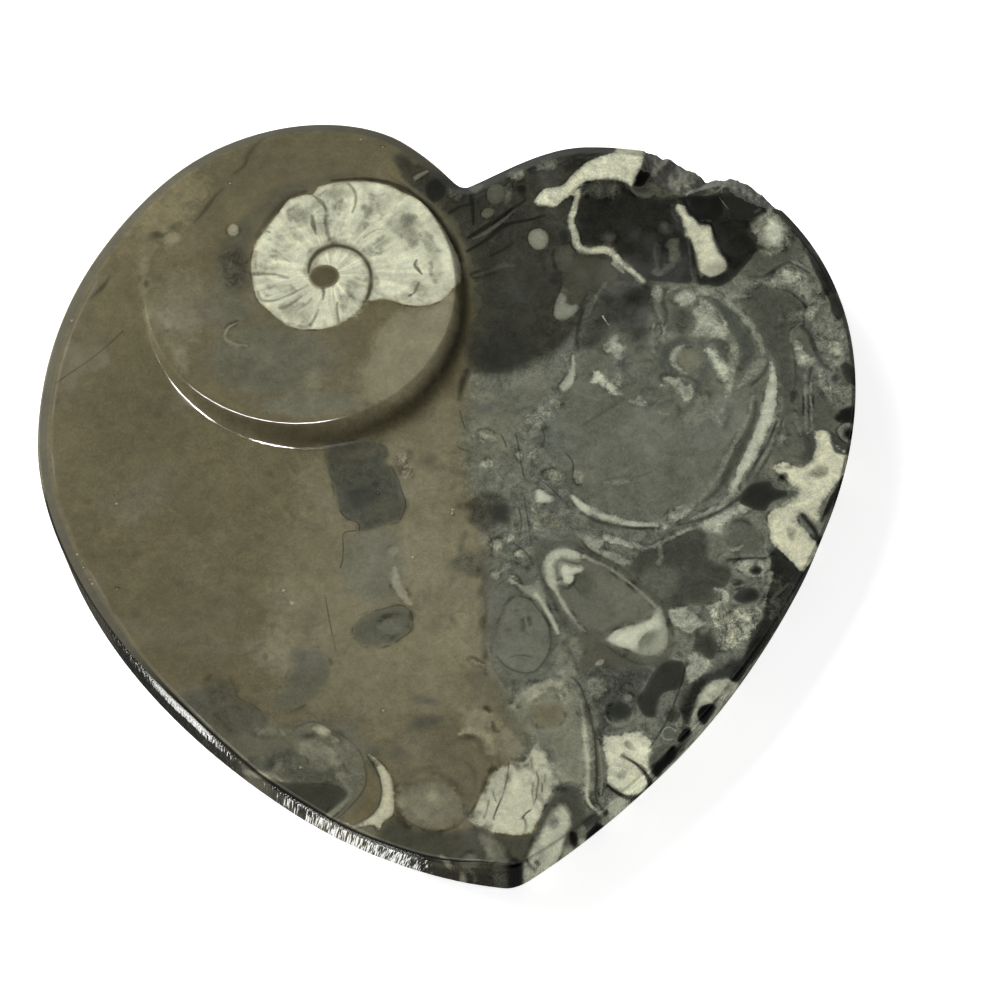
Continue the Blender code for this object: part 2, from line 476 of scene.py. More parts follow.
# %% Clouds in the beds
for centre, size, turn, tone, warmth in (
    ((-38, 43.5), (3.2, 7), -40, 0.455, 0.9), ((-36.5, 27), (3.6, 6), 0, 0.43, 0.7),
    ((-42, 12), (5, 6), 0, 0.37, 0.9), ((-45, -4), (6, 8), 0, 0.385, 0.9),
    ((-33, 5), (5, 3), 20, 0.4, 0.9), ((-30, -10), (9, 5), 25, 0.4, 0.85),
    ((-37, -26), (5, 4), 0, 0.37, 0.9), ((-25, -25), (2.4, 4), 10, 0.455, 0.75),
    ((-3, -2), (3.2, 6), 0, 0.45, 0.7), ((-5, -12), (4.5, 5), 0, 0.475, 0.65),
    ((0, -25), (3, 5), 0, 0.495, 0.7), ((-6, -29), (6, 4), 0, 0.455, 0.75),
    ((-16, -20), (4, 4), 0, 0.44, 0.75), ((-20, -11), (4, 6), 0, 0.435, 0.8),
    ((-24, 18), (9, 6), -10, 0.385, 0.35), ((-30, 27), (4, 5), 0, 0.385, 0.45),
    ((-12, 12), (5, 3), 30, 0.42, 0.65), ((7, 9), (4, 3), 0, 0.415, 0.4),
    ((5, 4), (2.5, 2.5), 0, 0.465, 0.45), ((12, 11), (4, 3), 20, 0.435, 0.25),
    ((11, 27), (5, 6), 0, 0.235, 0.25), ((8, 18), (3.4, 2.2), 10, 0.185, 0.1),
    ((15, 6), (2.4, 4.6), 0, 0.4, 0), ((36, 15), (6, 4), 0, 0.37, 0.1),
    ((50, 14), (4, 6), 0, 0.36, 0.2), ((50, 3), (3, 5), 0, 0.33, 0.2),
    ((-11, -36), (3.5, 2), 0, 0.42, 0.8), ((-9, -43), (2.4, 3), 0, 0.4, 0.75),
    ((2, -37.5), (3.2, 1.8), -20, 0.5, 0.7), ((-19, -36), (3, 1.5), 0, 0.38, 0.6),
    ((-30, -38), (2.6, 2.2), 0, 0.36, 0.55),
):
    oval("cloud", tone, warmth, centre, size, turn, soft=2, grain=0.35)
patch("cloud", 0.485, 0.65, [(1.8, 27.2), (2.4, 22), (0.8, 18), (-2.6, 13), (-7.5, 10.4),
    (-11, 10.6), (-12.2, 13), (-10.5, 18), (-8.5, 22), (-5.5, 24.6), (-1.5, 24.6)], soft=0.55,
    grain=0.25)
patch("cloud", 0.33, 0.55, [(-30.5, 37), (-27.5, 41), (-22.5, 46), (-15, 47.5), (-10.5, 47.5),
    (-17, 45.4), (-22.5, 42), (-25.8, 38), (-27, 34), (-26.8, 29), (-28.5, 28.5), (-30.5, 31)],
    soft=0.9)
patch("cloud", 0.37, 0.6, [(-4.5, 46), (-0.5, 43), (2.6, 39.2), (4, 34), (4, 28), (2.6, 27.6),
    (3, 31), (1.6, 37), (-2, 42.6)], soft=0.5)
for centre in (
    (-48.3, 9.4), (-46.7, 9.6), (-41.2, 7.4), (-33.5, 3.6), (-40.4, 11), (-42.6, -4.6),
    (-48.9, -6.2), (-50, -1.9), (-45.8, 2), (-38.6, 1.9), (-25.4, 1.5), (-43.7, -10), (-33.6, -4.7),
    (-20, -3.9), (-36, -19), (-30, -16), (-44, -19), (-27, -8),
):
    oval("cloud", 0.31, 0.85, centre, (0.42, 0.3), 15, soft=0.4)
tell("Clouds in the beds")

# %% [markdown]
# ## The ammonite
#
# It was cut a little aslant, so its whorls are wide on the right and narrow on the left. A spiral
# formula would make it too regular. The outline and the inner whorl are closed curves of their own,
# the cream shell fills between them, and the chamber walls are thin dark lines that run inwards.

# %% Ammonite shell
AMMONITE = (
    (-20.6, 43.7), (-18.2, 44.5), (-17.2, 44.4), (-16.2, 45.6), (-14.2, 46.1), (-12, 46.2),
    (-9.5, 46.1), (-6.5, 45.3), (-4.5, 44), (-2.2, 42.5), (-0.6, 40.8), (0.8, 38.6), (1.8, 36.5),
    (2.8, 34), (3.2, 32), (3.3, 30), (2.9, 28.8), (1.6, 27.2), (0.4, 25.9), (-1.5, 25.1),
    (-3.5, 24.95), (-5.4, 25.4), (-6.8, 26.1), (-8.2, 26.5), (-9.6, 26.2), (-10.6, 26.3),
    (-12.5, 24.2), (-14.5, 22.9), (-16.5, 22.3), (-19.5, 22.4), (-21.2, 22.9), (-23, 24.3),
    (-24.8, 26.4), (-25.8, 27.7), (-26.3, 30.4), (-26.5, 33), (-26, 35.6), (-25.4, 37.2),
    (-24.1, 39.1), (-22.2, 41.7),
)
patch("shell", 0.79, 0.28, AMMONITE, soft=0.16, grain=0.45)
band("cloud", 0.24, 0.6, [(-25.6, 37.8), (-24.4, 39.8), (-22.4, 42.4), (-20.4, 44.3), (-18.2, 45)],
    (0.3, 0.9, 0.9, 0.6), soft=0.35)
# This band is partly the ammonite's own dark edge and partly painted shade where that edge meets
# the button's rim.
band("cloud", 0.19, 0.6, [(-14, 46.6), (-10, 46.6), (-6.6, 45.8), (-4.2, 44.6), (-2, 43),
    (-0.2, 41), (1.4, 38.2), (2.6, 35.6), (3.4, 33)], (0.3, 0.6, 0.8, 0.9, 0.9), soft=0.2)
INNER_WHORL = [
    (-18.4, 31.5), (-18.1, 33.1), (-17.3, 34.4), (-16.4, 35.1), (-15.2, 35.6), (-14.6, 35.7),
    (-13.4, 35.5), (-12, 34.9), (-11, 34.1), (-10.2, 32.9), (-9.7, 31.5), (-9.6, 30), (-9.8, 28.5),
    (-10.2, 27.1), (-10.8, 26.2),
]
band("calcite", 0.48, 0.5, INNER_WHORL, (0.9, 1.5, 1.1, 1, 0.9), soft=0.4)
band("ink", 0.24, 0.6, INNER_WHORL, (0.2, 0.7, 0.45, 0.4, 0.5, 0.5), soft=0.16)
oval("inlay", 0.315, 0.95, (-16.2, 30.7), (2.15, 1.9), 8, soft=0.14, grain=0.3)
tell("Ammonite shell")

# %% Chamber walls and smoke
for points, widths, tone in (
    ([(-17.3, 44.4), (-16.4, 43.6), (-15.6, 42.5), (-15.3, 41.2), (-15.6, 39.8), (-15.4, 38),
        (-15, 36.4)], (0.3, 0.6, 0.5, 0.4, 0.3), 0.46),
    ([(-17.4, 40.7), (-17.3, 39.2), (-17, 37.8)], (0.5, 0.75, 0.25), 0.38),
    ([(-12.1, 46.1), (-11.4, 45.2), (-11, 44), (-11.1, 42.4), (-11.6, 41)], (0.4, 0.4, 0.2), 0.48),
    ([(-23.3, 31.7), (-22.4, 31.3), (-21.3, 30.8)], (0.25, 0.45, 0.2), 0.4),
    ([(-26.3, 31.7), (-25, 31.8), (-23.5, 31.6)], (0.5, 0.3), 0.46),
    ([(-25.7, 28.9), (-25.3, 27.6), (-23.6, 27.3), (-21.8, 27.9), (-20, 28.7), (-18.6, 29.5)],
        (0.5, 0.3, 0.25), 0.52),
    ([(-22.6, 26.1), (-21.8, 26.2), (-20.8, 26.8), (-19.5, 27.8)], (0.6, 0.4, 0.2), 0.44),
    ([(-20.3, 25.6), (-19, 26.4), (-18.2, 27.2)], (0.3, 0.45, 0.2), 0.52),
    ([(-18.6, 23), (-17.8, 24.3), (-17.3, 25.4)], (0.4, 0.35, 0.2), 0.5),
    ([(-14.5, 23), (-14.7, 24.8), (-14.6, 26.4)], (0.5, 0.35, 0.2), 0.48),
    ([(-3, 32.4), (-3.3, 31.6), (-2.8, 30.8), (-2.4, 30.1)], (0.3, 0.5, 0.3), 0.33),
    ([(-2.9, 28.7), (-3.3, 27.9), (-3.7, 27.1), (-4.4, 26.7)], (0.25, 0.4, 0.2), 0.36),
    ([(-16.5, 28.9), (-16.4, 28), (-16.6, 27)], (0.6, 0.35, 0.15), 0.36),
    ([(-10.3, 36.6), (-9, 37.6), (-7.6, 38)], (0.2, 0.3, 0.15), 0.6),
    ([(-24.6, 39), (-23.6, 38.6)], (0.2, 0.3), 0.45),
    ([(-20.6, 41.2), (-19.6, 40.2)], (0.2, 0.4), 0.5),
    ([(-24, 34.9), (-22.4, 34.4), (-20.8, 33.4)], (0.15, 0.3, 0.15), 0.58),
):
    band("ink", tone, 0.4, points, widths, soft=0.16, grain=0.5)
for centre, size, turn, tone in (
    ((-19.2, 40.9), (1.3, 1.5), 20, 0.56), ((-17.9, 41.6), (0.5, 0.7), 0, 0.45),
    ((-16.4, 39.6), (0.6, 2), 4, 0.58), ((-16.3, 42.8), (0.7, 1.1), 30, 0.58),
    ((-13.4, 42.2), (0.5, 1.6), -6, 0.42), ((-13.6, 44.5), (1.8, 0.9), 6, 0.6),
    ((-13.8, 39.3), (0.5, 1.4), -4, 0.58), ((-8.6, 43.4), (0.6, 1), 0, 0.5),
    ((-9.3, 40.9), (0.7, 1.3), -26, 0.49), ((-10.6, 38.8), (0.5, 1.1), -38, 0.57),
    ((-7, 42), (0.6, 1.8), -18, 0.64), ((-3.9, 38.9), (1.3, 1.6), -20, 0.49),
    ((-3.4, 36.4), (1.1, 2), 8, 0.53), ((-5.4, 38.2), (0.8, 0.7), 0, 0.6),
    ((-1.1, 34.7), (0.8, 1.4), 25, 0.57), ((-0.2, 32.6), (0.6, 1.6), 8, 0.6),
    ((-0.1, 30), (0.6, 1.2), 0, 0.61), ((-2.5, 27.3), (0.8, 1.3), 0, 0.6),
    ((-3.4, 28), (0.75, 0.6), 0, 0.54), ((-5, 26.8), (0.9, 0.5), 12, 0.56),
    ((-22.4, 29.3), (1.3, 0.4), -6, 0.5), ((-22.1, 26.2), (0.6, 0.45), 0, 0.45),
    ((-12.1, 29), (0.8, 1), 30, 0.6), ((-13.2, 26.8), (0.8, 0.7), 0, 0.62),
    ((-24.4, 33.4), (1.2, 2), 10, 0.68), ((-20.4, 24.8), (2.2, 1.3), -28, 0.64),
    ((-24.2, 28.9), (1, 0.5), 0, 0.66), ((-21.6, 37.2), (2, 1.6), 40, 0.68),
    ((-8, 35.4), (1.6, 0.6), 38, 0.66), ((-12.4, 24.9), (1, 0.8), 40, 0.66),
    ((-14.6, 36.1), (0.5, 0.4), 0, 0.3),
):
    oval("calcite", tone, 0.3, centre, size, turn, soft=0.45, grain=0.7)
ammonite_x = [x for x, y in AMMONITE]
print("the ammonite is", round(max(ammonite_x) - min(ammonite_x), 1), "mm wide")

# %% [markdown]
# ## The button's other marks
#
# Round the ammonite lie crumbs of shell, cut at random. Each is a small oval or a short band. Only
# those that catch the eye are placed; the finer crumbs come from the shader's noise. A pale band
# along the button's left edge is a painted reflection, and a thin pale line at its lower end is a
# painted glint.

# %% Marks in the left lobe
oval("shell", 0.5, 0.7, (-37.7, 38.5), (1.4, 1), 20, soft=0.4)
oval("shell", 0.6, 0.5, (-28.8, 39.3), (0.8, 1), soft=0.25)
oval("ink", 0.27, 0.7, (-39.8, 39.3), (0.9, 0.7), soft=0.4)
oval("ink", 0.27, 0.7, (-37, 40.6), (1.1, 0.45), 25, soft=0.4)
oval("shell", 0.49, 0.6, (-38.5, 24.6), (0.5, 0.9), soft=0.25)
oval("ink", 0.27, 0.7, (-41.4, 31.4), (0.3, 0.6), soft=0.25)
# This pale band along the button's left edge is a painted reflection, and the thin pale line after
# it is a painted glint.
band("cloud", 0.46, 0.75, [(-41.5, 40), (-41.8, 33), (-41.2, 26)], (0.6, 1.4, 0.6), soft=0.7)
band("shell", 0.5, 0.75, [(-41.7, 29), (-41.4, 26.4), (-40.9, 24)], 0.22)
for points in (
    [(-23.8, 54.6), (-25.1, 53.3), (-26.2, 51.7), (-26.8, 50.1), (-28.3, 48.8)],
    [(-30.1, 46.4), (-31.2, 45.1), (-32.7, 43), (-34.3, 40.9)],
    [(-46.5, 33), (-47.4, 31.5), (-49.2, 29.6)],
):
    band("ink", 0.26, 0.75, points, (0.2, 0.7, 0.2), soft=0.3)
hairline((-0.5, 0.2), [(-44.8, 24), (-47.5, 21.4), (-49.7, 19.6), (-52, 18), (-54.2, 16.4)])
lay("shell", 0.6, 0.25, 0.4,
    (0.52, [(-28.8, 24.1), (-30.1, 23.4), (-30.6, 21.8), (-29.4, 20.8), (-27.6, 20.4)],
        (0.15, 0.4, 0.5, 0.2)))
patch("ink", 0.3, 0.5, [(-31, 35.5), (-28, 36), (-26.9, 33), (-27.2, 30), (-30, 30), (-31.2, 32.5)],
    soft=0.8, grain=0.9)
patch("cloud", 0.44, 0.5, [(-20.4, 13.4), (-18, 12.2), (-17.3, 14), (-17.6, 16.2), (-19.6, 15)],
    soft=0.5)
patch("cloud", 0.46, 0.6, [(-38.4, 21.5), (-36.4, 21.3), (-35.8, 18), (-36.4, 15.8), (-37.4, 17.8)],
    soft=0.5)
patch("cloud", 0.43, 0.4, [(-26, 11), (-22.5, 9), (-17, 8.6), (-12, 9.2), (-15, 12), (-21, 12.6)],
    soft=0.7)
tell("Marks in the left lobe")

# %% [markdown]
# ## The marks at the notch
#
# Between the button and the notch, dark slivers and grey crumbs of shell lie in the mud, most of
# them slanting up to the right. The slivers are so thin that a patch would need two edges side by
# side, so they are bands with a width at each place, and the crumbs are ovals.

# %% Marks at the notch
patch("ink", 0.25, 0.45, [(-5.2, 49.5), (-4, 50.4), (-2.4, 48.4), (-2.1, 46.6), (-3.6, 47)],
    soft=0.35)
band("calcite", 0.5, 0.4, [(-2.2, 46.4), (-0.4, 47.3)], (0.7, 0.4), soft=0.2)
patch("ink", 0.17, 0.1, [(-0.8, 45), (1, 46.2), (2.2, 45.6), (1.8, 43.4), (0.4, 42.4), (-0.6, 43)])
band("ink", 0.16, 0.3, [(2.3, 40.5), (3.9, 41.4), (5.5, 41.6)], 0.5)
band("ink", 0.15, 0.3, [(5.6, 43.3), (5.7, 41), (5.6, 38.5)], (0.7, 0.35))
patch("shell", 0.4, 0.3, [(5.4, 45), (7.3, 45.4), (7.5, 44.4), (6.2, 43.4)], soft=0.2)
oval("shell", 0.34, 0.3, (9.2, 43), (1.3, 1.6), -20)
oval("shell", 0.42, 0.3, (11, 43), (0.5, 1.6), -12)
patch("ink", 0.14, 0.2, [(12.1, 43.8), (13.6, 44), (13.2, 42.2)], soft=0.15)
oval("shell", 0.36, 0.3, (12.3, 46.4), (1.4, 0.9), 25, soft=0.3, grain=1)
oval("shell", 0.33, 0.3, (3.4, 43.8), (0.9, 1.5), 20, soft=0.3, grain=0.9)
oval("ink", 0.15, 0.2, (14.7, 46.4), (0.8, 0.6), 20)
band("ink", 0.14, 0.3, [(4.7, 36.4), (9, 38.9), (13.4, 41.7)], (0.5, 0.8, 0.3))
band("shell", 0.33, 0.3, [(5.4, 36.2), (7.6, 37.2), (10, 38.9), (12.3, 40.9)], (0.3, 0.7, 0.3))
band("ink", 0.14, 0.3, [(4.4, 34.3), (7.4, 36), (10.2, 38), (13.4, 38.5), (16, 39)],
    (0.4, 0.7, 0.3))
band("ink", 0.15, 0.3, [(7.6, 33.3), (9.4, 34.1), (11, 35.1)], 0.35)
oval("shell", 0.37, 0.3, (7.8, 40.1), (1, 0.7), 30)
oval("shell", 0.31, 0.3, (5.2, 26.4), (0.7, 1.3), 10)
band("shell", 0.3, 0.3, [(5, 30.4), (7, 30.8), (9, 31.6), (11, 31.6)], (0.3, 0.6, 0.2), soft=0.3)
tell("Marks at the notch")

# %% [markdown]
# ## The black upper right
#
# Cream shell breaks up a black bed here: a long streak to the rim, a vein that loops under the
# black, and a blade beside a ring. Black stone is drawn first and the cream over it, since the real
# shell lies in the mud and not the mud in the shell.

# %% Black beds and cream shell
patch("ink", 0.155, 0.2, [(21.6, 43.5), (25.8, 43.7), (27.4, 42.9), (28.4, 41.9), (30, 40.6),
    (32.6, 39.9), (35, 39.8), (34.7, 38.2), (35.3, 35.6), (35.5, 34), (36.3, 31.6), (36.3, 27.7),
    (35.3, 26.4), (32.6, 26.9), (29.5, 27.7), (28.2, 29.5), (26.3, 31.4), (24.7, 33.2),
    (22.6, 33.7), (21.1, 34.3), (20.4, 35.8), (20.7, 39.3), (21.1, 41.4)], soft=0.2, grain=0.5)
patch("ink", 0.15, 0.15, [(35.3, 40.1), (37.6, 40.2), (40, 39.3), (42.9, 39.7), (45.8, 38.5),
    (47.6, 38.2), (47.8, 36.9), (46.1, 35.6), (44.5, 33.7), (45.5, 31.1), (44.7, 29.5),
    (42.9, 27.7), (41.6, 26.4), (39.7, 25.4), (37.9, 25.7), (36.3, 26.4), (37, 30)], soft=0.2,
    grain=0.5)
patch("inlay", 0.055, 0.2, [(29.1, 42.6), (28.9, 43.3), (29.5, 44.2), (30, 45.2), (30.4, 45.3),
    (30.7, 44.7), (31.4, 44.7), (31.7, 44.1), (31.1, 43.3), (30.6, 42.6), (29.9, 42.3)], soft=0.16)
band("inlay", 0.2, 0.2, [(30.4, 45.4), (31, 46.6), (31.8, 47.9)], (0.6, 0.9, 0.6), soft=0.2,
    grain=1.6)
band("inlay", 0.31, 0.3, [(28.4, 43), (29.2, 41.4), (30.6, 40.8), (32, 41.4), (33.8, 42.4)],
    (0.4, 0.7, 0.9, 0.8), soft=0.3)
patch("inlay", 0.27, 0.2, [(22, 43.2), (25, 43.6), (27.1, 42.7), (27.3, 41.6), (25.6, 40.9),
    (23.4, 41.3), (22.2, 42)], soft=0.5, grain=1.3)
# This lighter, cooler patch on the black bed is a painted sheen.
patch("inlay", 0.19, 0.1, [(38.4, 39), (41, 39.4), (43.6, 38.4), (43, 36.6), (40, 36.4)], soft=0.9,
    grain=0.7)
oval("inlay", 0.33, 0.2, (24.8, 34.7), (0.9, 0.7), 20, soft=0.5)
patch("shell", 0.27, 0.5, [(17.8, 30), (20, 32), (23, 31.6), (25.2, 30.2), (25.2, 28.2), (23, 26.8),
    (20.6, 25.6), (19, 24.4), (18, 26.4), (17.6, 28.4)], soft=0.35)
patch("shell", 0.38, 0.15, [(15.2, 46), (15.8, 47.4), (17.2, 48), (18.6, 47.8), (18.4, 46.8),
    (17.4, 46), (16.2, 46.4)], soft=0.35, grain=1)
patch("calcite", 0.47, 0.2, [(11.4, 46.4), (12.6, 46.9), (13.4, 45.8), (12.6, 44.8), (11.8, 45.4)],
    soft=0.35, grain=1)
for start in (46.4, 47.3, 48.2):
    band("ink", 0.15, 0.3, [(19.4, start - 0.8), (22.6, start + 0.6), (26, start + 1.6)],
        (0.2, 0.5, 0.2), soft=0.25)
patch("inlay", 0.78, 0.3, [(14.7, 41.1), (16.1, 43.1), (18.7, 43.5), (20.5, 45.1), (22.6, 46.9),
    (24.7, 47.8), (26.3, 48.3), (27.2, 49.3), (27.6, 51.5), (31, 52), (31.4, 48.1), (31.1, 47.2),
    (30.3, 45.3), (29.5, 43.9), (28.8, 42.4), (28.2, 42.9), (26.8, 43.7), (24.7, 44), (22.4, 43.9),
    (21.3, 43.2), (20.3, 42.2), (18.7, 41.1), (17.6, 40.3), (16.3, 40.6)], soft=0.18, grain=0.9)
band("inlay", 0.7, 0.3, [(21, 42.4), (20.3, 39.8), (19.6, 37.9), (20, 35.6), (20.1, 34),
    (21.6, 32.9), (23.7, 32.9), (25, 32.2), (26.3, 30.3), (27.9, 28.7), (28.9, 27.4)],
    (0.8, 0.9, 1.1, 1.2, 0.9, 0.7), soft=0.18, grain=1)
band("inlay", 0.55, 0.3, [(25, 30.6), (26.3, 29)], (0.7, 0.3))
oval("shell", 0.5, 0.25, (14.7, 35.4), (1.45, 1.7), 10)
oval("ink", 0.17, 0, (18.4, 35.6), (0.7, 1.1))
oval("ink", 0.17, 0, (15.5, 40.3), (0.8, 0.5), 20)
patch("shell", 0.3, 0.3, [(17.2, 33.7), (19.5, 34), (19.3, 30.8), (17.6, 29.8), (16.8, 31.6)],
    soft=0.3)
patch("shell", 0.5, 0.2, [(17.5, 27.4), (16.2, 25), (16, 22.9), (17.6, 22.5), (19.6, 24.3),
    (17.9, 24.9), (17.9, 26.4)])
patch("inlay", 0.73, 0.3, [(34.7, 38.5), (35, 37.4), (35.4, 36.2), (35.5, 35), (35.6, 33.8),
    (36.1, 33.2), (36.4, 32), (36.8, 30.6), (36.9, 29), (37.1, 28), (38, 27.2), (38.9, 27),
    (40, 27.4), (40.9, 28.2), (40.9, 29.3), (40.4, 30.2), (40, 31), (39.8, 32), (39.5, 32.8),
    (39.3, 34), (39.2, 34.9), (38.4, 35.2), (37.8, 35.6), (37.2, 36.4), (36.4, 37.2), (36.2, 37.8),
    (35.8, 38.6), (35.2, 38.9)], soft=0.16, grain=0.75)
oval("inlay", 0.58, 0.3, (39.2, 28.2), (1.6, 0.9), 10, soft=0.6)
lay("inlay", 0.2, 0.18, 0.5,
    (0.05, [(36, 39.6), (36.4, 38.2), (37.1, 37), (38, 35.7), (39.4, 35.3), (39.7, 33.6),
        (40.1, 31.9), (40.5, 30.6), (41.1, 29.5), (41.2, 28.8)], (0.5, 0.35, 0.25, 0.3, 0.35, 0.4,
        0.2)),
    (0.08, [(35.2, 37), (35.2, 35.4), (35.4, 33.6), (36.2, 33), (36.5, 31), (36.6, 29), (36.8, 27)],
        (0.2, 0.2, 0.25, 0.2)),
    (0.12, [(34.9, 33), (35.6, 32.4), (35.6, 28.4), (35, 28.6), (34.8, 30.6)]),
    (0.27, [(34.3, 39), (34.2, 37.6), (34.7, 36.2)], (0.2, 0.35, 0.2)),
    (0.3, [(35.9, 32.6), (35.9, 30), (35.8, 28.4), (36.2, 26.8)], (0.15, 0.2, 0.25)))
lay("inlay", 0.2, 0.3, 0.6,
    (0.33, [(33, 33.2), (34, 33.6), (34.7, 33.2), (34.7, 32), (34.5, 30.6), (33.8, 29.4),
        (32.8, 28.6), (31.6, 28), (30.6, 28.2), (30.3, 28.8), (31, 29.4), (32, 29.2), (32.8, 30),
        (33, 31.4)]), (0.27, [(31.4, 33.2), (31, 31.6), (31.1, 30), (31.5, 28.8)], 0.3),
    (0.24, [(32.2, 36), (32.8, 36.4), (33.6, 36), (33.6, 35), (33, 34.4), (32.2, 34.6),
        (31.9, 35.3)]))
lay("inlay", 0.3, 0.16, 0.2,
    (0.06, [(32.3, 32.8), (32, 31), (31.6, 29.3)], (0.2, 0.28, 0.15)),
    (0.09, [(34, 35.8), (34.3, 34.8), (34, 34.2)], 0.3), (0.32, [(32.7, 35.8), (33, 35.5)], 0.3))
oval("inlay", 0.27, 0, (24.7, 34.5), (0.7, 0.5), 30)
lay("inlay", 0.25, 0.5, 0.9,
    (0.44, [(45, 34.6), (46, 35.6), (47.4, 36.6), (48.2, 37.2), (49, 36.4), (50, 35), (50.2, 33.4),
        (49.6, 31.6), (48.4, 30.2), (47, 29.6), (46, 30.4), (46.4, 31.6), (45.6, 32.4),
        (46, 33.4)]),
    (0.6, [(46.6, 33.6), (47.8, 34.2), (48.8, 34.4), (49, 32.8), (48, 31.2), (46.9, 30.8),
        (46.3, 31.8), (47.1, 32.4)]))
oval("calcite", 0.29, 0.1, (43, 36.8), (0.35, 0.3), soft=0.2)
tell("Black beds and cream shell")

# %% [markdown]
# ## Colours of the broken rim
#
# A fresh break is greyer than polished stone, since no polish deepens its colour, and crystals
# sparkle in it. The shader could turn the whole break grey, but shells run through it with their
# own tones. So they are placed as marks, and the shader adds the crystals, whose flashes are
# painted glints, and a little more grey.

# %% Broken rim of the right lobe
lay("inlay", 0.35, 0.3, 0.7,
    (0.38, [(31.4, 47.6), (32.6, 47.4), (33.6, 47.8), (35.2, 47.6), (36.6, 46.4), (37, 45.2),
        (38.6, 45), (40, 43.8), (40, 42.4), (38.6, 41.8), (37.6, 41.2), (36.4, 40.4), (35.2, 40.2),
        (34.4, 41.2), (33.4, 42.4), (32, 43.4), (31.8, 44.8), (31.2, 46)]),
    (0.29, [(31.8, 43.2), (33.2, 42.2), (34.4, 40.8), (33, 40.2), (31.6, 41), (30.8, 42)]),
    (0.43, [(36, 44), (37.6, 44), (38.6, 42.8), (37.4, 42), (35.6, 42.4)]),
    (0.33, [(33.4, 47), (35, 46.8), (35.4, 45.6), (34, 45)]))
lay("inlay", 0.15, 0.2, 1.3,
    (0.3, [(39.4, 42.4), (40.4, 43.6), (42.8, 44), (44.8, 43.4), (46.4, 42), (48, 40), (48.6, 38.8),
        (47.4, 37.8), (46, 38.2), (44.4, 39.8), (42.6, 40.3), (41, 40.3), (39.4, 40.2),
        (38.2, 40.2), (38.8, 41.4)]))
lay("inlay", 0.05, 0.25, 0.3,
    (0.12, [(37.2, 40), (37, 38.6), (37.4, 37.2), (38.4, 36.2), (40, 35.8), (41.4, 37),
        (41.4, 39.9), (39.6, 40)]),
    (0.17, [(41.6, 40.1), (42.6, 40), (44.4, 39.6), (45.8, 38.2), (47, 37.6), (46.4, 36.4),
        (44.6, 35.8), (43, 36), (42, 38)]), (0.3, [(38, 36), (39.4, 35.8)], (0.15, 0.2)),
    (0.36, [(46, 36.8), (46.8, 37.2)], (0.2, 0.3)))
lay("inlay", 0.3, 0.12, 0.3,
    (0.75, [(36.5, 40.3), (37.1, 40.9), (37.8, 41.4), (38.8, 42)], (0.12, 0.2, 0.08)),
    (0.85, [(36.9, 41.9), (37.2, 41.5)], 0.3), (0.5, [(38.4, 41.3), (39.6, 41.5)], 0.12),
    (0.48, [(39, 40.2), (40.6, 40.5), (41.6, 41.2), (42.4, 42.2)], (0.12, 0.3, 0.2)),
    (0.6, [(31.2, 47.6), (31.2, 46.6), (31.4, 45.4)], (0.3, 0.15, 0.25)))
hairline((0.5, 0.12), [(41.2, 39.6), (41.8, 38.4), (42.2, 37.7)])
for centre in (
    (44, 41), (44.1, 40.4), (45.2, 39.8), (45.9, 40), (46.6, 39.6), (46.4, 39), (47, 38.8),
    (45.6, 40.6), (44.7, 40.2), (41.2, 42), (42.2, 41.5), (41.6, 41), (42.8, 41.8), (43.4, 40.9),
    (47.2, 39.4), (35.2, 45.4), (35.6, 45.1),
):
    oval("inlay", 0.66, 0.3, centre, (0.16, 0.12), 30, soft=0.07, grain=0)
tell("Broken rim of the right lobe")

# %% [markdown]
# ## The ghost ammonite
#
# In the middle of the right lobe lies a second, larger ammonite, nearly as grey as its mud. Its
# outer whorl shows as a pale arc, its centre as a small disc with a crescent. A full spiral is not
# drawn, since most of it is lost; only the arcs and the crystals that remain are.

# %% Ghost ammonite's mud
patch("cloud", 0.395, 0.2, [(16, 12), (19, 17), (23, 22), (29, 26), (36, 26), (42, 22), (45.3, 16),
    (45.2, 10), (43.4, 4), (39.6, -2), (35, -6.6), (29, -8.6), (24, -9), (19, -7.4), (15.5, -3),
    (14.6, 4)], soft=0.9, grain=0.42)
lay("shell", 0.15, 0.7, 0.6,
    (0.225, [(19.4, 20), (20.6, 23.2), (22.6, 26), (25, 27.2), (29.6, 26.6), (30, 23.6), (29, 21.2),
        (28.4, 18.6), (26.8, 17.8), (25.6, 19.4), (23.6, 20.2), (22.4, 18.6), (20.8, 17.8),
        (18.8, 18.2)]),
    (0.16, [(25.4, 26.8), (29.6, 27.2), (30, 24.6), (28.4, 23.2), (26.4, 24.4)]),
    (0.28, [(32.6, 22.4), (33.8, 22.8), (35, 22), (35.2, 20.6), (34, 19.8), (32.6, 20.4)]),
    (0.36, [(24.8, 13.6), (27.2, 13.8), (29.2, 14.4), (30, 12.6), (31, 10.8), (30.6, 9),
        (28.4, 8.4), (26, 9.8)]),
    (0.44, [(29.4, 20.6), (31.4, 19.6), (33, 18.8), (31.2, 18), (29.4, 18.6)]),
    (0.42, [(33, 9), (34.6, 8.6), (36, 8.6), (37.4, 7.2), (38, 6), (37.4, 4.6), (35.6, 4.8),
        (34, 4.4), (32.6, 5.6)]))
lay("shell", 0, 0.45, 0.5,
    (0.28, [(38.6, 23.4), (40, 21.4), (41.2, 18.8), (42.2, 16.4), (42.4, 14.6), (41.6, 13)],
        (1, 2, 2, 1.4)),
    (0.31, [(33.4, 17.6), (31.4, 16.8), (30.5, 15), (30.5, 13.4), (31.6, 12.4)],
        (1, 1.5, 1.3, 0.8)),
    (0.31, [(36, 17), (36.5, 14.8), (36.1, 12.8), (35.2, 11), (34.6, 9.8)], (0.7, 1.1, 0.9)))
oval("shell", 0.43, 0.4, (34, 14.6), (1.8, 1.8), soft=0.35, grain=0.4)
tell("Ghost ammonite's mud")

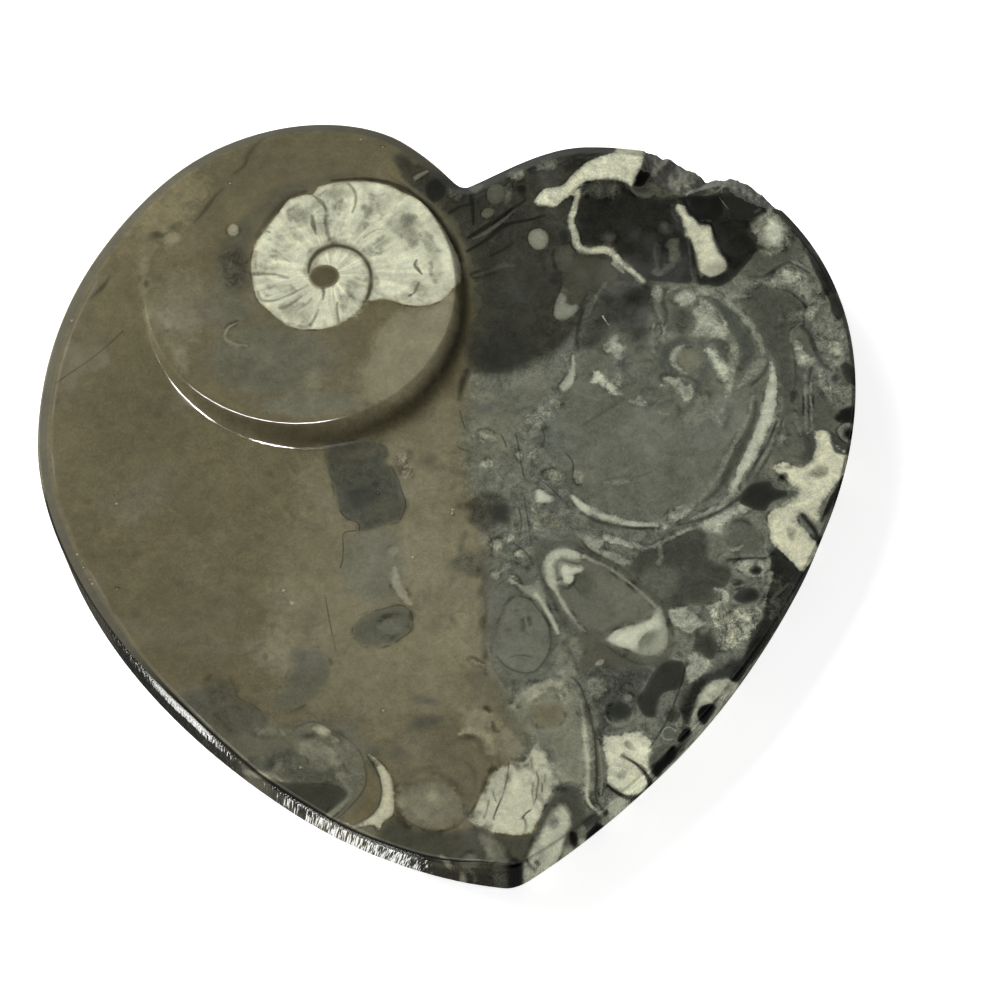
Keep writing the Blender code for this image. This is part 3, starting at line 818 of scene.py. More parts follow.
# %% Ghost ammonite's shell
lay("calcite", 0.15, 0.32, 0.8,
    (0.6, [(24.4, 19.4), (23.3, 19), (22.4, 17.8), (22.8, 16.9), (23.7, 16.3), (24, 14.8),
        (23.6, 13.2), (23.4, 11.6), (23.6, 10.4), (24.1, 10.2), (24.3, 12.2), (24.5, 14.2),
        (24.9, 15.8), (25, 17.2), (24.5, 18.4)]),
    (0.78, [(20.2, 13.2), (20.9, 13.9), (21.7, 13.6), (22, 12.9), (22.7, 12.1), (23.4, 11.8),
        (23.6, 10.6), (23.2, 10.2), (22.6, 10.9), (21.9, 11.6), (20.9, 12.1), (20.2, 12.6)]),
    (0.56, [(24.9, 9.2), (25.9, 9.4), (26.6, 9.8), (27.2, 9), (27.8, 8.2), (27.2, 7.9), (26.4, 8.5),
        (25.4, 8.8)]),
    (0.58, [(30.1, 12.4), (31.5, 11.8), (32.5, 11.9), (33, 10.9), (34, 10.4), (34.1, 9.2),
        (33.5, 8.2), (32.9, 8.5), (32.3, 9.4), (31.6, 10.6), (30.7, 11.2)]),
    (0.74, [(36.4, 15.8), (37.4, 16), (38, 15), (38.6, 13.8), (39, 12.4), (38.9, 11.2),
        (38.4, 10.6), (37.9, 11.6), (37.3, 13), (36.8, 14.4)]),
    (0.54, [(40, 16.2), (41, 15.8), (40.8, 14.2), (40.2, 12.4), (39.8, 10.8), (39.2, 9.2),
        (38.4, 8.2), (38.9, 10), (39.4, 12.4), (39.7, 14.4)]),
    (0.57, [(36.2, 22.8), (36.8, 24.4), (37.8, 23.2), (38.7, 22), (39.4, 20.6), (39.8, 18.6),
        (39.4, 17.2), (38.4, 17.5), (37, 17.9), (35.2, 18), (35.4, 19.4), (35.8, 20.8),
        (35.5, 22)]),
    (0.62, [(30, 25.8), (31, 26.2), (32, 25.4), (31.9, 24.4), (30.9, 24), (30.1, 24.6)]),
    (0.45, [(40.7, 9.8), (41.6, 11.1), (42.6, 12.8), (43.8, 13.6), (44.6, 13.2), (44.2, 12.2),
        (43, 10.8), (41.8, 9.9)]),
    (0.66, [(27, -10.2), (28.5, -8.9), (30, -8), (31.8, -7.8), (31.2, -8.9), (30, -9.7),
        (28.4, -10.4)]))
oval("inlay", 0.66, 0.15, (34.5, 24.1), (1.5, 1.1), -8, soft=0.4, grain=0.8)
lay("calcite", 0.15, 0.22, 0.6,
    (0.61, [(33.6, 16.8), (32.4, 16.1), (31.8, 14.9), (32, 13.8), (33.4, 12.4)],
        (0.3, 0.9, 0.8, 0.2)),
    (0.52, [(37, 25.2), (38.6, 24.3), (40.2, 23), (41.6, 21.3), (42.8, 19.5), (43.6, 17.7),
        (44.2, 16), (44.3, 14.4)], (1.3, 0.8, 0.9, 0.7)),
    (0.72, [(45.3, 12.8), (45.4, 11), (45, 9), (44.5, 7), (43.8, 5), (42.9, 3), (41.8, 0.9),
        (40.6, -1.1), (39.4, -3), (38.4, -4.8), (37.6, -6)], (0.3, 1.2, 1.9, 1.7, 1.5, 1.2, 0.7)),
    (0.43, [(45.6, 4.6), (44.6, 2), (43.4, -0.2), (42, -2.2), (40.6, -4.2)], (0.3, 0.8, 0.5)),
    (0.46, [(42.3, 8.8), (42, 7.2), (41.3, 5.2), (40.2, 3.2), (39, 1.3), (37.6, -0.7), (36.4, -2.9),
        (35.3, -4.6), (33.8, -6.2), (32.2, -7.4), (30, -8.3)], (0.2, 0.4, 0.8, 0.6, 0.9)),
    (0.68, [(15.8, -4.5), (16.6, -5.8), (17.8, -6.9), (19.4, -7.9), (21.2, -8.7), (23, -9.4),
        (25, -9.8), (27, -10.1)], (0.5, 1.1, 1.1, 0.8, 0.5)),
    (0.52, [(32, -9.5), (34, -8.9), (35.8, -8.2), (37, -7.1), (38.2, -6)], (0.5, 0.9, 0.8)),
    (0.54, [(18, 16.9), (17.8, 15), (17.2, 13.6), (16.4, 12.7), (15.7, 12)], (0.3, 0.7, 0.9, 0.5)),
    (0.48, [(14, 10.6), (14.9, 9.9), (15, 8.8), (14.4, 8)], (0.5, 0.9, 0.5)),
    (0.5, [(20.4, -3), (22.2, -3.3), (24, -3.1)], (0.2, 0.7, 0.2)),
    (0.5, [(29, 6.9), (30.3, 6.4)], (0.3, 0.3)),
    (0.52, [(34.6, 18.3), (36.4, 17.9), (38.2, 17.7), (39.4, 17.2)], 0.3),
    (0.5, [(30, 23.6), (30.7, 21.8), (31.2, 20), (30.9, 18.6)], (0.2, 0.35, 0.4)),
    (0.46, [(29.7, 20.4), (29.3, 18.8), (29.2, 17), (29.6, 15.6)], (0.3, 0.6, 0.5)),
    (0.5, [(37.2, 6.8), (38.1, 6.1), (38.1, 5.1), (37.2, 4.4)], (0.3, 0.6, 0.4)),
    (0.46, [(21.4, 26.4), (20.8, 25.2), (20, 22.6)], (0.4, 0.35, 0.2)),
    (0.38, [(23.6, 27.6), (22.2, 25.8), (21.2, 23.8), (20.4, 22.6)], (0.3, 0.35, 0.2)),
    (0.46, [(40.4, 23.9), (42, 23.5), (43.6, 23.4)], (0.2, 0.5, 0.3)),
    (0.5, [(32.2, 25.4), (33.8, 25.9)], 0.4), (0.5, [(22.2, 14.2), (22.8, 13), (23.2, 12.2)], 0.3))
tell("Ghost ammonite's shell")

# %% Ghost ammonite's dark lines
lay("ink", 0.2, 0.25, 0.5,
    (0.27, [(42.5, 7), (42, 4.8), (41, 2.6), (39.6, 0.3), (38.1, -2), (36.8, -4.2), (35.6, -5.8),
        (33.8, -7.1)], (0.4, 1, 1.2, 1, 0.4)),
    (0.22, [(44.9, 3.6), (43.7, 1.2), (42.4, -0.8), (41, -2.8), (39.9, -4.4)], (0.2, 0.4, 0.3)),
    (0.24, [(45.2, 2), (43.8, -0.6), (42.4, -2.6), (41, -4.6)], (0.15, 0.3, 0.2)),
    (0.27, [(44.9, 12.6), (44.2, 11.4), (43, 10.2), (42, 9.4)], (0.3, 0.5, 0.2)),
    (0.23, [(16.8, -7.2), (18.6, -8.6), (20.4, -9.4), (22.4, -10), (24, -10.3), (26.4, -10.6)],
        (0.3, 0.5, 0.3)),
    (0.22, [(29.6, -10.3), (32, -10.1), (34.4, -9.4), (36.6, -8.4), (38.4, -7.2)], (0.2, 0.4, 0.4)),
    (0.33, [(20.6, -2.6), (23, -2.4), (25, -2.6), (27, -2.1)], (0.1, 0.3, 0.1)),
    (0.32, [(24.4, 9.5), (22.6, 8.4), (20.4, 7.2), (18.4, 6)], (0.3, 0.3, 0.15)),
    (0.19, [(18.7, 18.6), (18.9, 20.4), (19.3, 22), (20.4, 24.4), (21.6, 26.6)], (0.6, 0.4, 0.3)),
    (0.24, [(31.8, 25.4), (31.4, 23.6), (31.7, 22), (31.2, 20.2)], (0.6, 0.8, 0.3)),
    (0.26, [(29.9, 23.6), (30.2, 22), (30.3, 20.6)], 0.4),
    (0.29, [(38.5, 16.3), (39, 15), (39.3, 13.6)], (0.9, 0.8, 0.2)),
    (0.27, [(36.6, 16.8), (38, 17.1), (39.4, 16.5), (39.9, 15.4)], (0.3, 0.5, 0.3)),
    (0.28, [(32, 12.3), (33.6, 11.9), (34.8, 11)], (0.2, 0.4, 0.3)))
hairline((0.9, 0.14), [(22.7, 22.5), (23, 21.9), (23.4, 21.1)])
tell("Ghost ammonite's dark lines")

# %% [markdown]
# ## The right edge
#
# Between the ghost ammonite and the rim, broken shells stand on end, with dark mud squeezed between
# them. The mud and the plates are patches, and the thin plates seen edge-on are bands.

# %% Right edge: mud and plates
lay("shell", 0.2, 0.28, 0.5,
    (0.295, [(42, 23.4), (44.4, 24.6), (47, 24.3), (49.4, 22.8), (50.9, 20.8), (50.2, 19), (49, 18),
        (48.4, 16), (48.1, 13), (48, 10), (47.6, 7), (47, 4.8), (45.9, 4.2), (46.3, 7), (46.3, 10),
        (45.9, 12.8), (45.1, 15), (44.6, 17), (43.8, 19), (42.8, 21.2)]),
    (0.34, [(42, 27.8), (44, 29.6), (46.4, 30.6), (48.8, 30.2), (50.4, 29.6), (49.6, 28.4),
        (47.8, 27.4), (46.2, 26.6), (44, 26.6), (42.4, 26.8)]),
    (0.35, [(50.6, 33.4), (51.8, 31.4), (52, 30), (51.2, 28.8), (50, 29.4), (49.8, 31.4)]),
    (0.35, [(47.4, 4.6), (47.9, 2), (48, -1), (47.6, -3), (46, -3.2), (44, -2.8), (43.4, -1.6),
        (44.4, -0.4), (45.4, 1.2), (46.4, 3)]),
    (0.25, [(48, 1.6), (49.5, 1.4), (49.6, -0.8), (49, -2.4), (48, -3.6), (47.5, -2.4),
        (48.1, -0.6)]),
    (0.33, [(50.2, 9.4), (51, 7.6), (52.2, 5.2), (53, 3.8), (52, 2.4), (50.6, 2.4), (50, 4.6),
        (49.9, 7)]))
lay("calcite", 0.15, 0.38, 1,
    (0.5, [(44, 24.9), (46.4, 25.3), (48, 26.6), (49.6, 27.2), (51.4, 26.2), (52.6, 25), (53, 23.2),
        (53.6, 22), (53, 20.6), (51.8, 19.6), (50.8, 18.6), (50.8, 19.8), (51.4, 21), (51, 22.6),
        (49.6, 23.8), (47.6, 24.6)]),
    (0.47, [(51.4, 17.8), (52.6, 18.6), (54, 19.3), (55.2, 18.2), (56, 16.6), (56.6, 14.4),
        (56.4, 12.4), (55, 11.4), (54, 11.2), (53, 11.8), (52.2, 12.8), (51.8, 14.2), (51.6, 16)]),
    (0.58, [(48.6, 14.8), (49.4, 15.4), (50, 14.2), (50.8, 13), (51.3, 12.4), (50.8, 11.8),
        (49.6, 11.2), (48.8, 11.8), (48.6, 13.2)]),
    (0.44, [(51.2, 10.4), (52.6, 11.2), (54, 9.6), (55, 8.2), (56.4, 7.6), (56, 5.4), (54.6, 4.6),
        (53.4, 4.6), (52.6, 5.8), (51.8, 7.6), (51, 9)]),
    (0.4, [(47, 19.2), (48.8, 20), (49.8, 21.2), (50.4, 20.4), (50, 19), (48.4, 18.8)]),
    (0.6, [(45.2, 34.4), (46.6, 35.8), (48.4, 37.6), (49.3, 36.2), (49.9, 34.6), (50.6, 33.4),
        (50.4, 32), (49.6, 30.4), (48.4, 30), (46.8, 30.2), (46, 31.8), (45.4, 33)]))
lay("inlay", 0.2, 0.6, 0.9,
    (0.8, [(47.2, 34), (48.2, 35.4), (49.2, 34.6), (49.6, 32.8), (48.6, 31), (47.4, 31.4),
        (47, 32.6)]), (0.68, [(49, 26.6), (50.6, 26.6), (51, 25.6), (49.8, 25.2), (48.8, 25.8)]),
    (0.6, [(51, 19.8), (52, 20.6), (52.6, 20.2), (51.6, 19)]),
    (0.62, [(53.4, 13.6), (54.6, 14.6), (55.4, 13.4), (54.4, 12.8)]),
    (0.5, [(44.6, 1.4), (45.6, 1.6), (45.6, 0.4), (44.8, 0)]),
    (0.64, [(53, 22.6), (53.4, 23.6), (53.2, 21.6)]))
tell("Right edge: mud and plates")

# %% Right edge: lines and black mud
lay("ink", 0.1, 0.2, 0.6,
    (0.2, [(47.4, 24.3), (49.4, 23.2), (50.7, 21.6), (51.1, 20.6), (50.6, 19.2), (50.6, 18.2)],
        (0.2, 0.4, 0.4)),
    (0.26, [(44, 26.4), (46.2, 26.2), (48, 27.4), (49.8, 28.3)], (0.6, 0.8, 0.4)),
    (0.24, [(50, 28), (51.2, 27.2), (52.4, 26.2)], (0.2, 0.35)),
    (0.24, [(50.2, 17.8), (51, 16.6), (51.4, 14.8), (51.8, 13), (52.4, 11.6), (53.4, 10.4)],
        (0.8, 0.7, 0.3)), (0.25, [(51.9, 13.6), (53, 13.2), (54.1, 12.4), (54.9, 12.7)], 0.3),
    (0.26, [(48.4, 15.8), (48.6, 12.4), (48.2, 9)], (0.2, 0.5, 0.3)),
    (0.24, [(50.6, 11.2), (50, 8.6), (49.6, 5.6), (49.3, 2.4)], (0.3, 0.5, 0.35)),
    (0.3, [(48.9, 10), (48.4, 7), (48.1, 4.6)], (0.3, 0.5, 0.2)),
    (0.15, [(52, 31.6), (53.2, 30), (54.8, 27.4), (56, 24.8), (55.6, 22.6), (54.2, 22.4),
        (53.8, 24.4), (53.4, 26), (52.8, 28)]),
    (0.2, [(54.6, 22), (55.4, 22.8), (56.4, 20.8), (56.4, 19), (55.4, 18.4), (54.7, 19.6)]),
    (0.2, [(54.8, 11), (55.8, 11.6), (57, 10), (56.8, 8.2), (55.6, 8.2), (55, 9.2)]),
    (0.24, [(53.2, 9.6), (54.2, 9.6), (54, 8.6), (53.2, 8.4)]),
    (0.19, [(47.3, 7.8), (48, 8), (48, 6.2), (47.4, 6)]),
    (0.13, [(54, 4.4), (55.8, 4.6), (56, 2.2), (53.6, 2.4), (52.8, 3.2)]),
    (0.24, [(52, 1), (53, 0.2), (54, -0.8), (54.4, -2.4), (52.4, -2.2), (51.9, -0.6)]))
lay("inlay", 0.1, 0.18, 0.6,
    (0.45, [(49.7, 11), (49.4, 8), (49.1, 5), (48.8, 2.8), (48.8, 1.4)], (0.2, 0.4, 0.4, 0.3)),
    (0.47, [(51, 10.8), (50.3, 8.8), (49.9, 6), (49.7, 3.2), (49.5, 1.6)], (0.2, 0.5, 0.4, 0.2)),
    (0.42, [(48.4, 15.6), (48.7, 17), (49.7, 18), (50.2, 18.3)], 0.25),
    (0.4, [(50.4, 28.5), (51.6, 27.5), (52.7, 26.5)], 0.3),
    (0.45, [(47.6, 4.8), (47.8, 3), (47.9, 1.2)], (0.2, 0.4, 0.2)),
    (0.46, [(54.2, 22.4), (54.5, 21), (54.3, 19.8), (55.1, 18.5)], (0.2, 0.35, 0.3)),
    (0.46, [(53, 1.4), (54, 2.2), (55.4, 1.9), (55.6, 0.6), (55, -0.6), (54, -0.7), (53.2, 0.2)]),
    (0.1, [(53.8, 1), (54.7, 1.4), (55.1, 0.5), (54.5, -0.3), (53.8, 0.1)]),
    (0.8, [(52.5, -1), (52.9, -1.1), (52.7, -1.6)]),
    (0.7, [(53.2, -1.8), (53.7, -1.8), (53.4, -2.2)]))
patch("calcite", 0.76, 0.35, [(50.1, 1.5), (51.9, 0.9), (52.2, -1.7), (53.9, -2.2), (52.9, -5.6),
    (51.4, -6.9), (49, -9.8), (48.5, -11.7), (46.4, -10.6), (45.8, -11.7), (47.2, -14),
    (47.9, -16.2), (45.5, -19), (45, -19), (44.3, -17.5), (42.7, -15.4), (41.9, -14), (41.9, -12.2),
    (42.2, -10.1), (44.3, -9.1), (45.6, -8.3), (46.4, -7), (45.3, -5.6), (43.7, -3.5), (45, -2.7),
    (47.2, -3.8), (49, -2.5), (49.8, -0.6)], soft=0.22, grain=0.7)
lay("ink", 0.3, 0.3, 0.8,
    (0.5, [(48, -5), (50, -5.6), (51, -4.4), (49.6, -3.8)]),
    (0.55, [(44, -12), (45.4, -13), (44.6, -14.4)]))
lay("inlay", 0.3, 0.15, 0.5,
    (0.1, [(52.8, -5.6), (51.8, -7.6), (50.8, -9.1), (49, -11.9)], (0.3, 1, 0.4)),
    (0.1, [(46.4, -10.6), (47.9, -13.3), (48.2, -15.6)], (0.25, 0.7, 0.3)),
    (0.12, [(44.3, -4.4), (44.9, -4.3), (45.3, -4.8), (44.9, -5.3), (44.3, -5.2)]))
patch("ink", 0.185, 0.1, [(38.5, -8), (39, -6.4), (40.8, -5.1), (42.9, -5.1), (43.5, -6.4),
    (46.4, -7.5), (42.9, -8.3), (41.4, -9.6)], soft=0.16)
tell("Right edge: lines and black mud")

# %% [markdown]
# ## The centre
#
# Below the button the mud holds a dark green lump, a small oval shell and a cloud of shell crumbs
# that thickens towards the ghost ammonite. The crumbs are small patches in the calcite coat. Two
# dark brown ovals along the foot of the button's cove are painted shade.

# %% Centre
patch("shell", 0.3, 0.3, [(-17.2, 5.2), (-17.4, 1.5), (-16.6, -1), (-16.3, -3.5), (-15.9, -5),
    (-14.9, -6), (-13.6, -6.4), (-13.5, -7.9), (-11, -7.4), (-9.5, -6.9), (-7.8, -6.3), (-7, -4.4),
    (-7.3, -2.4), (-7.7, -0.5), (-8.5, 1.5), (-9.6, 2.4), (-8.8, 3.7), (-10, 5.4), (-14, 5.6)],
    soft=0.25, grain=0.5)
patch("ink", 0.255, 0.2, [(-15, -1.4), (-13, -1), (-11, -1.6), (-11.2, -3.2), (-12.4, -4.4),
    (-14.4, -4)], soft=0.6)
patch("ink", 0.34, 0.4, [(-11, -3.4), (-8, -3), (-8, -5.4), (-10.4, -6.4), (-13, -5.8)], soft=0.6)
oval("ink", 0.17, 0.3, (-13, -1.5), (0.9, 0.35), -10, soft=0.2)
oval("ink", 0.19, 0.3, (-11, -0.9), (0.55, 0.35), 20, soft=0.2)
# This dark brown oval, at the foot of the button's cove, is painted shade.
oval("ink", 0.27, 0.7, (-14, 3.6), (2.6, 0.9), 8, soft=0.5)
hairline((-0.6, 0.16), [(-8.6, 1.6), (-7.8, -0.3), (-7.4, -2.2), (-7, -3.8), (-7.3, -5.2),
    (-7.9, -6.4)])
hairline((-0.55, 0.16), [(-16, -4.5), (-15.6, -5.4), (-14.7, -6.1), (-13.9, -6.4), (-13.5, -7),
    (-13.7, -8)])
hairline((-0.55, 0.15), [(-14, -7.7), (-15.7, -8), (-15.9, -10), (-16.1, -12), (-16.4, -12.9)])
hairline((-0.45, 0.15), [(-18.7, -17.5), (-18.5, -19.5), (-18.2, -22), (-17.7, -25.5)])
patch("cloud", 0.42, 0.4, [(-15, -8.6), (-9, -7.6), (-8, -12), (-9, -18), (-13, -19), (-16.4, -14)],
    soft=1)
oval("calcite", 0.5, 0.4, (-7.3, 2.7), (1, 0.7), 25, soft=0.5, grain=0.9)
oval("calcite", 0.52, 0.4, (-6.5, 0.6), (0.6, 1), -20, soft=0.4, grain=0.9)
oval("ink", 0.34, 0.5, (-3.4, 2.4), (1, 0.8), 20, soft=0.6)
# This dark oval, at the foot of the button's cove, is painted shade.
oval("ink", 0.33, 0.5, (-12.5, 4), (3.5, 0.8), 8, soft=0.5)
oval("calcite", 0.49, 0.45, (-9.2, -11), (0.8, 0.65), 40, soft=0.25)
band("calcite", 0.57, 0.35, [(-9.2, -13.6), (-9, -16), (-8.2, -17.8), (-7.2, -19.3)],
    (0.5, 1.3, 1.2, 0.3), soft=0.3)
patch("shell", 0.37, 0.4, [(-15.3, -22.8), (-14, -20.6), (-11.5, -19.7), (-9, -19.2), (-7.6, -20),
    (-7.2, -21.5), (-7.7, -23.2), (-9.6, -24.4), (-12, -25.1), (-14.5, -24.5)], soft=0.2)
oval("calcite", 0.41, 0.3, (-10.2, -22.2), (2, 1.2), 10, soft=0.5)
hairline((-0.5, 0.16), [(-12, -19.8), (-9, -19.2), (-7.6, -20), (-7.2, -21.5), (-7.7, -23.2),
    (-9.6, -24.4)])
oval("ink", 0.27, 0.4, (-7.4, -20.9), (0.4, 0.8), soft=0.2)
patch("ink", 0.29, 0.35, [(-0.2, -5), (1.5, -4.3), (3, -3.4), (4.5, -2.9), (6, -3.8), (7, -4.8),
    (7.4, -6.5), (6.9, -8.2), (5.5, -8.2), (3.8, -9.6), (2.2, -8.3), (1.2, -7), (1.6, -5.8)],
    soft=0.35, grain=0.7)
oval("ink", 0.23, 0, (5.9, -6.5), (1.1, 1.5), -10, soft=0.5)
oval("ink", 0.25, 0.9, (1.4, -4.9), (1.2, 0.5), 12, soft=0.3)
patch("ink", 0.35, 0.4, [(-1.8, -13.5), (-0.5, -12.3), (1, -11.8), (2.8, -12.5), (2.8, -14.5),
    (1.2, -15.6), (0, -14.8)], soft=0.4, grain=0.7)
band("ink", 0.36, 0.5, [(0.8, -9), (0.3, -10.2), (0, -11.6)], 0.8, soft=0.4)
for points in (
    [(0.8, 4.1), (1.5, 3.6), (2.2, 3.3)], [(1.5, 9.4), (1.7, 8), (2, 6.8)],
    [(7, 5.3), (7.2, 4.7), (7.4, 4)], [(9, 5), (9.2, 3), (9.3, 1), (9.5, -1)],
    [(11.4, -1.6), (13.2, -3.4), (15.2, -6.2)], [(8.4, -6), (8.6, -8), (8.1, -10.2)],
    [(9.3, -4.5), (9.5, -8), (9.6, -11)], [(7.2, -11), (8.8, -12.6), (9.6, -14.4)],
    [(3.9, -9.6), (4.4, -10.6), (4.2, -12)], [(15.6, 2), (16.4, 0.4), (16.2, -1.6)],
    [(12.6, 6), (12.9, 4.6), (12.4, 3.4)],
):
    hairline((-0.55, 0.2), points)
for centre, size, turn, tone in (
    ((4.4, 1.3), (0.8, 0.6), 0, 0.55), ((9.1, 2), (0.35, 0.7), 0, 0.55),
    ((11, 2.2), (0.4, 1.6), 0, 0.52), ((6.8, -10.3), (0.7, 0.5), 30, 0.62),
    ((5, -11), (0.7, 0.8), 0, 0.56), ((7.9, -12.7), (0.7, 0.45), -20, 0.58),
    ((6.7, -16.6), (0.7, 0.5), -20, 0.66), ((4.4, -16), (0.6, 0.9), 0, 0.5),
    ((6, -14.4), (0.6, 0.6), 0, 0.5), ((13.6, -1.2), (1.5, 0.6), -10, 0.5),
    ((4.6, 5.2), (1.5, 1.1), 0, 0.49), ((10.4, -8), (0.4, 1.6), 0, 0.5),
    ((12.4, -8), (1.6, 1.2), -30, 0.42), ((17, -2), (0.7, 1.1), 20, 0.5),
    ((7.2, -7.6), (0.3, 2), 10, 0.47),
):
    oval("calcite", tone, 0.3, centre, size, turn, soft=0.3, grain=0.9)
oval("ink", 0.35, 0.2, (4.8, 9.6), (1.2, 0.7), 10, soft=0.5)
band("ink", 0.2, 0.6, [(2.9, 15.6), (2.1, 13.6), (1.5, 11.4)], (0.9, 0.9, 0.3), soft=0.4)
patch("calcite", 0.53, 0.2, [(14.3, 10.6), (15.6, 10), (15, 8.5), (13.7, 7.6), (12.8, 6.2),
    (11.2, 6.4), (10.5, 7.4), (12, 8.8), (13.2, 9.8)], soft=0.4, grain=0.9)
band("calcite", 0.68, 0.2, [(16.2, 11.9), (17.5, 13.4), (18, 16.5)], (1.1, 0.7, 0.3), soft=0.25)
patch("inlay", 0.78, 0.2, [(10.8, -3.8), (11.3, -3.2), (12.4, -3.9), (13.4, -5), (12, -5.3),
    (11, -5.1)], soft=0.25)
band("inlay", 0.72, 0.2, [(15.9, -4.8), (16.8, -6), (17.9, -7.5)], (0.7, 1.1, 0.6), soft=0.2)
tell("Centre")

# %% [markdown]
# ## Long snail shells
#
# Three slender shells lie side by side below the centre, cut lengthwise. Each is a grey filling
# inside a bright wall of calcite, with a thin dark skin. The wall is a tapering band and the skin a
# hairline, since a hard-edged patch inside another would look like inlaid wood.

# %% Shell A
SHELL_A = (
    (7.4, -19), (6.4, -19.4), (5.4, -20.5), (4.6, -22), (3.7, -24.4), (3.2, -26.2), (3.6, -27.6),
    (4.2, -28.6), (5.2, -29.5), (6.4, -30.1), (7.6, -30.3), (8.6, -30), (9.6, -29), (10.4, -27.8),
    (10.9, -26.3), (11, -25), (10.8, -23.5), (10.2, -22), (9.5, -20.8), (8.7, -19.6),
)
patch("shell", 0.385, 0.2, [(3, -13), (5, -14), (8, -15), (10.6, -18), (12.4, -23), (12.6, -27),
    (11, -30.4), (7.4, -31.4), (4, -30.2), (2.4, -27), (2.7, -20)], soft=0.6, grain=0.4)
patch("calcite", 0.41, 0.2, SHELL_A, soft=0.3, grain=0.35)
hairline((-0.45, 0.24), SHELL_A[6:] + SHELL_A[:1])
hairline((-0.35, 0.16), [(9.5, -20.8), (10.2, -22), (10.8, -23.5), (11, -25), (10.9, -26.3),
    (10.4, -27.8)])
lay("ink", 0.45, 0.45, 0.4,
    (0.33, [(3.2, -12), (3, -15), (2.8, -18), (2.6, -21), (2.3, -24), (1.8, -26.4)],
        (0.2, 0.5, 0.3)), (0.35, [(3.6, -24.6), (4.4, -22.4), (5.2, -20.8)], (0.5, 0.35, 0.2)))
lay("inlay", 0.2, 0.26, 0.35,
    (0.53, [(6.9, -17), (8.2, -17.4), (9.4, -17.4), (10, -16.8), (10.6, -18.2), (10.9, -19.4),
        (10, -19.6), (9.2, -19.6), (8.4, -18.8), (7.4, -17.9)]),
    (0.7, [(6.6, -16.7), (7, -16.9), (7.4, -17.3)], (0.3, 0.5, 0.2)),
    (0.72, [(9.6, -19), (10.4, -20.4), (11.1, -22.2), (11.7, -23.8), (12, -24.9)],
        (0.4, 0.75, 0.7, 0.65, 0.4)),
    (0.36, [(11.2, -25.2), (11.3, -26.2), (11, -27)], (0.3, 0.45, 0.2)))
lay("ink", 0.3, 0.35, 0.4,
    (0.3, [(10.4, -15), (10.8, -17), (11.5, -19), (12.1, -20.8), (12.6, -22.4), (13, -23.8)],
        (0.25, 0.4, 0.3)),
    (0.36, [(13.2, -23.4), (14, -24.4), (15, -25.6), (15.4, -27.4)], (0.2, 0.5, 0.4)))
hairline((-0.4, 0.2), [(5.5, -27.8), (6.5, -27.6), (7.9, -27.9)])
for centre, size in (
    ((5.3, -23.8), (0.35, 0.25)), ((6.7, -21.1), (0.4, 0.16)), ((4.2, -24.9), (0.2, 0.2)),
    ((7.3, -24), (0.2, 0.2)),
):
    oval("inlay", 0.3, 0.2, centre, size, soft=0.2)
band("inlay", 0.47, 0.2, [(7.9, -21.4), (7.9, -22.8), (8.1, -24)], (0.2, 0.4, 0.2), soft=0.4)
lay("calcite", 0.3, 0.35, 0.5,
    (0.46, [(0.2, -28), (2, -29), (3.4, -31), (4.2, -32.6)], (0.3, 0.9, 0.4)),
    (0.45, [(12.2, -25.3), (13.5, -25), (14.6, -26), (15, -27.4), (14.8, -28.6), (13.4, -30),
        (13.8, -31.8), (12.4, -32), (11.4, -31.2), (10.9, -30), (11.1, -28), (11.5, -26.6)]),
    (0.56, [(12, -30.6), (12.3, -31.6)], (0.3, 0.4)),
    (0.34, [(13.2, -27.6), (13.8, -29), (14.2, -31)], (0.2, 0.5, 0.5)))
tell("Shell A")

# %% Shell B
patch("shell", 0.395, 0.25, [(11.2, -18), (11, -16), (11.4, -13.6), (13, -12.2), (15.6, -12.4),
    (18.2, -14.4), (20.5, -16.2), (22.5, -18.2), (24.6, -20.8), (26.2, -23.4), (26.4, -27),
    (24.6, -29.6), (20, -28), (16.6, -25.8), (14, -23), (12.4, -20.4)], soft=0.25, grain=0.3)
lay("cloud", 0.25, 0.5, 0.45,
    (0.35, [(10.2, -11.4), (13, -10.6), (16, -11), (19, -13), (22.6, -16.6), (25.4, -20.2),
        (27.4, -24), (27.2, -28), (25, -31), (20, -31), (15, -30), (13, -24), (10.4, -17)]))
lay("shell", 0.25, 0.6, 0.4,
    (0.345, [(14.8, -16), (17, -16.2), (17.4, -18), (16, -19.4), (14.4, -18.4)]),
    (0.42, [(18, -18.6), (21, -18.4), (23.6, -21), (22, -22.4), (19, -21)]))
lay("ink", 0.3, 0.3, 0.4,
    (0.31, [(12, -11.6), (14.4, -11.4), (16.4, -12.2), (18.6, -13.8), (20.4, -15.2), (22, -16.6),
        (23.6, -18.4), (25.2, -20.4), (26.2, -21.9)], (0.2, 0.3, 0.35, 0.3)),
    (0.23, [(26.3, -22), (26.8, -23.4), (27.1, -25), (27.2, -26.6)], (0.2, 0.3, 0.2)),
    (0.27, [(18, -27), (19.2, -28.2), (20.4, -29.2), (21.6, -30), (23, -30.4), (24.6, -30.3),
        (26, -29.6)], (0.2, 0.5, 0.45, 0.2)),
    (0.33, [(17.4, -25.8), (19.4, -24.6), (21.6, -24)], (0.3, 0.3, 0.15)))
